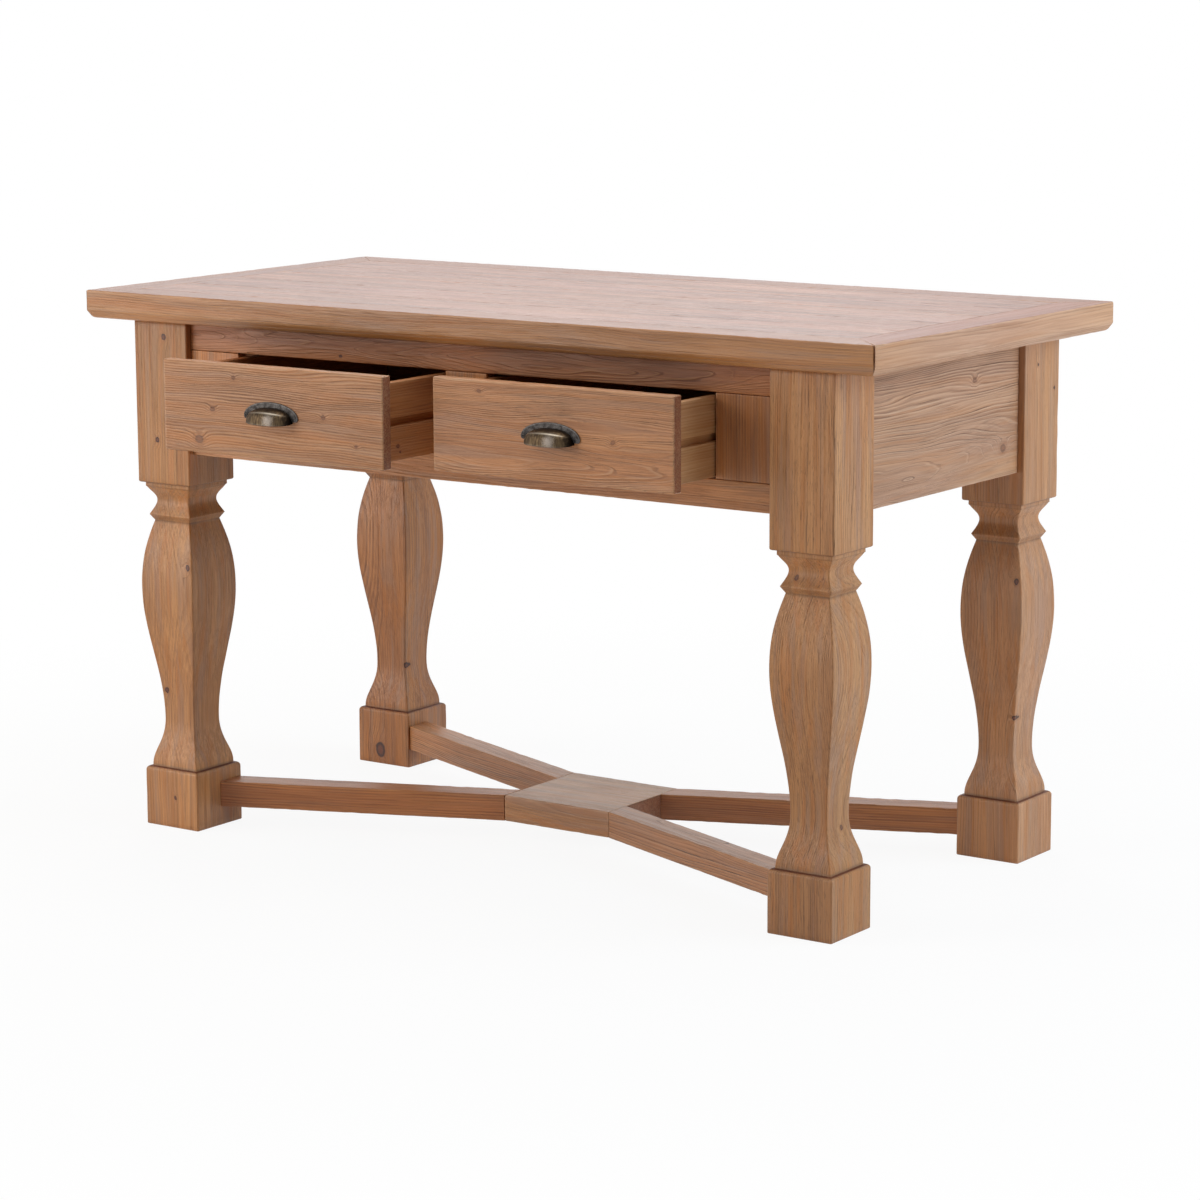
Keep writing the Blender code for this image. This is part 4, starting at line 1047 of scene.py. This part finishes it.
def makeScrew(node, metal):
    # a square grid bent into a disc, raised as part of a ball and cut by a slot, then the shank
    low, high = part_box(node)
    seat = np.array([(low[0] + high[0]) / 2, low[1], (low[2] + high[2]) / 2])
    s = screwSet
    slot, ball, r = s["slot"], s["ball"], s["wide"] / 2
    flat, a = math.sqrt(ball - 1), math.radians(s["turn"])
    lines = np.unique(np.concatenate([np.linspace(-1, 1, 17), [-slot, -slot * 0.8, slot * 0.8, slot]]))
    u, v = np.meshgrid(np.linspace(-1, 1, 21), lines, indexing="ij")
    x, z = u * np.sqrt(1 - v ** 2 / 2), v * np.sqrt(1 - u ** 2 / 2)
    dome = s["tall"] * (np.sqrt(np.clip(ball - (x ** 2 + z ** 2), 0, 2)) - flat) / (math.sqrt(ball) - flat)
    y = s["tall"] - dome + np.where(np.abs(v) < slot * 0.9, np.minimum(s["slotDeep"], dome * 0.8), 0.0)
    head = np.stack([r * (x * math.cos(a) - z * math.sin(a)), y, r * (x * math.sin(a) + z * math.cos(a))], -1)
    rows, columns = x.shape
    number = np.arange(rows * columns).reshape(rows, columns)
    ring = np.concatenate([number[0, :-1], number[:-1, -1], number[-1, :0:-1], number[:0:-1, 0]])[::-1]
    shrink = s["shank"] / s["wide"]
    neck = head.reshape(-1, 3)[ring] * np.array([shrink, 0, shrink]) + np.array([0, s["tall"], 0])
    tip = neck + np.array([0, s["long"], 0])
    count, many = rows * columns, len(ring)
    quads = np.concatenate([ring, count + np.arange(2 * many)])[gridQuads(3, many, True)]
    points = np.concatenate([head.reshape(-1, 3), neck, tip]) * mm + seat
    faces, end = [gridQuads(rows, columns, False), quads], count + many + np.arange(many)
    mesh = meshOf(camel(node), (points, faces, [end]))
    edge = np.concatenate([np.clip(1.2 - np.abs(np.hypot(x, z) - 0.8) * 5, 0, 1).ravel(), np.zeros(2 * many)])
    addPiece(camel(node), mesh, metal, node, "aged_brass", rim=np.ones(len(points)), edge=edge)


# the darkest colour paints a dark reflection towards the cup's right end and is also the rim's patina; the
# shade colour is a painted dark reflection above the crease, the crease colour a painted highlight and the
# rubbed colour the grey of a painted reflection
brassSet = {
    "cup": "#584936", "streak": "#3C3025", "dark": "#17120F", "shade": "#2B2017", "crease": "#CCC0AE",
    "rubbed": "#8C837B", "rim": "#3E3B3A", "fleck": "#646160", "worn": "#7A7572",
    # speed of each noise per mm: clouds of patina, specks of the casting, runs down the cup
    "noise": {"cloud": ((0.16, 0.16, 0.16), 3.0), "speck": ((0.9, 0.9, 0.9), 2.0),
              "run": ((0.30, 0.30, 0.05), 2.0)},
    "spot": (12.0, -8.5, 13.0),    # place across and up, and size, of the grey spot of painted reflection in mm from the middle
}


def agedBrass(title, middle):
    # cast brass darkened in a bath: olive brown with runs of patina, a painted dark reflection towards the
    # right end and above the crease, a painted highlight on the crease and a grey spot of painted reflection
    brass, tree, add, shader = newMaterial("darkenedCastBrass_" + title)
    shader["Metallic"].default_value = 1.0
    tone = {name: toLinear(value) for name, value in brassSet.items() if isinstance(value, str)}
    place = add("Mapping", add("TexCoord", out="Object"), -Vector(middle) / mm, Scale=(1 / mm,) * 3)
    x, _, z = add("SeparateXYZ", place).node.outputs
    edge, rim = (add("Attribute", out="Fac", attribute_name=name) for name in ("edge", "rim"))
    noise = {name: add("TexNoise", add("VectorMath", place, speed, **times), Scale=1.0, Detail=detail)
             for name, (speed, detail) in brassSet["noise"].items()}
    # painted reflection: black towards the right end and darker above the crease, standing in for dark
    # surroundings mirrored by the metal
    right = add("Math", add("Math", noise["cloud"], 14.0, **times), x, **plus)
    right = add("MapRange", right, 38.0, 50.0, **soft)
    paintedDarkAbove = add("Math", add("Math", noise["cloud"], 3.0, **times), z, **plus)
    paintedDarkAbove = add("MapRange", paintedDarkAbove, 5.0, 8.0, 0.0, 0.8, **soft)
    cup = add("MixRGB", add("MapRange", noise["run"], 0.35, 0.65, **soft), tone["cup"], tone["streak"])
    cup = add("MixRGB", paintedDarkAbove, cup, tone["shade"])
    # a painted reflection in the lower middle, grey like rubbed metal, in a spot with a speckled border
    across, up, size = brassSet["spot"]
    away = add("VectorMath", place, (across, 0.0, up), **minus)
    away = add("VectorMath", add("VectorMath", away, (1 / size, 0.0, 1 / size), **times), **length)
    away = add("Math", away, add("MapRange", noise["speck"], 0.3, 0.7, -0.2, 0.2, **soft), **plus)
    cup = add("MixRGB", add("MapRange", away, 0.1, 1.1, 0.8, 0.0, **soft), cup, tone["rubbed"])
    cup = add("MixRGB", right, cup, tone["dark"])
    # painted highlight on the lip, the crease and the left end, fading towards the right
    highlight = add("Math", add("MapRange", x, 20.0, 36.0, 0.95, 0.1, **soft), edge, **times)
    cup = add("MixRGB", highlight, cup, tone["crease"])
    # the rim is pewter grey with paler flecks and a worn edge
    fleck = add("MapRange", noise["speck"], 0.46, 0.66, 0.0, 0.6, **soft)
    flange = add("MixRGB", fleck, tone["rim"], tone["fleck"])
    flange = add("MixRGB", add("MapRange", noise["cloud"], 0.4, 0.6, 0.0, 0.5, **soft), flange, tone["dark"])
    flange = add("MixRGB", add("Math", edge, 0.5, **times), flange, tone["worn"])
    tree.links.new(add("MixRGB", rim, cup, flange), shader["Base Color"])
    tree.links.new(add("MapRange", noise["cloud"], 0.3, 0.7, 0.38, 0.56, **soft), shader["Roughness"])
    high = add("Math", noise["speck"], 0.10, **times)
    tree.links.new(add("Bump", Height=high, Distance=mm, Strength=0.5), shader["Normal"])
    return brass


for side in ("left", "right"):
    low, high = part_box("drawer_" + side + "_cup_pull")
    metal = agedBrass(side, (low + high) / 2)
    makePull("drawer_" + side + "_cup_pull", metal)
    for end in ("left", "right"):
        makeScrew("drawer_" + side + "_pull_screw_" + end, metal)
print("cup pulls: two, with two screws each")
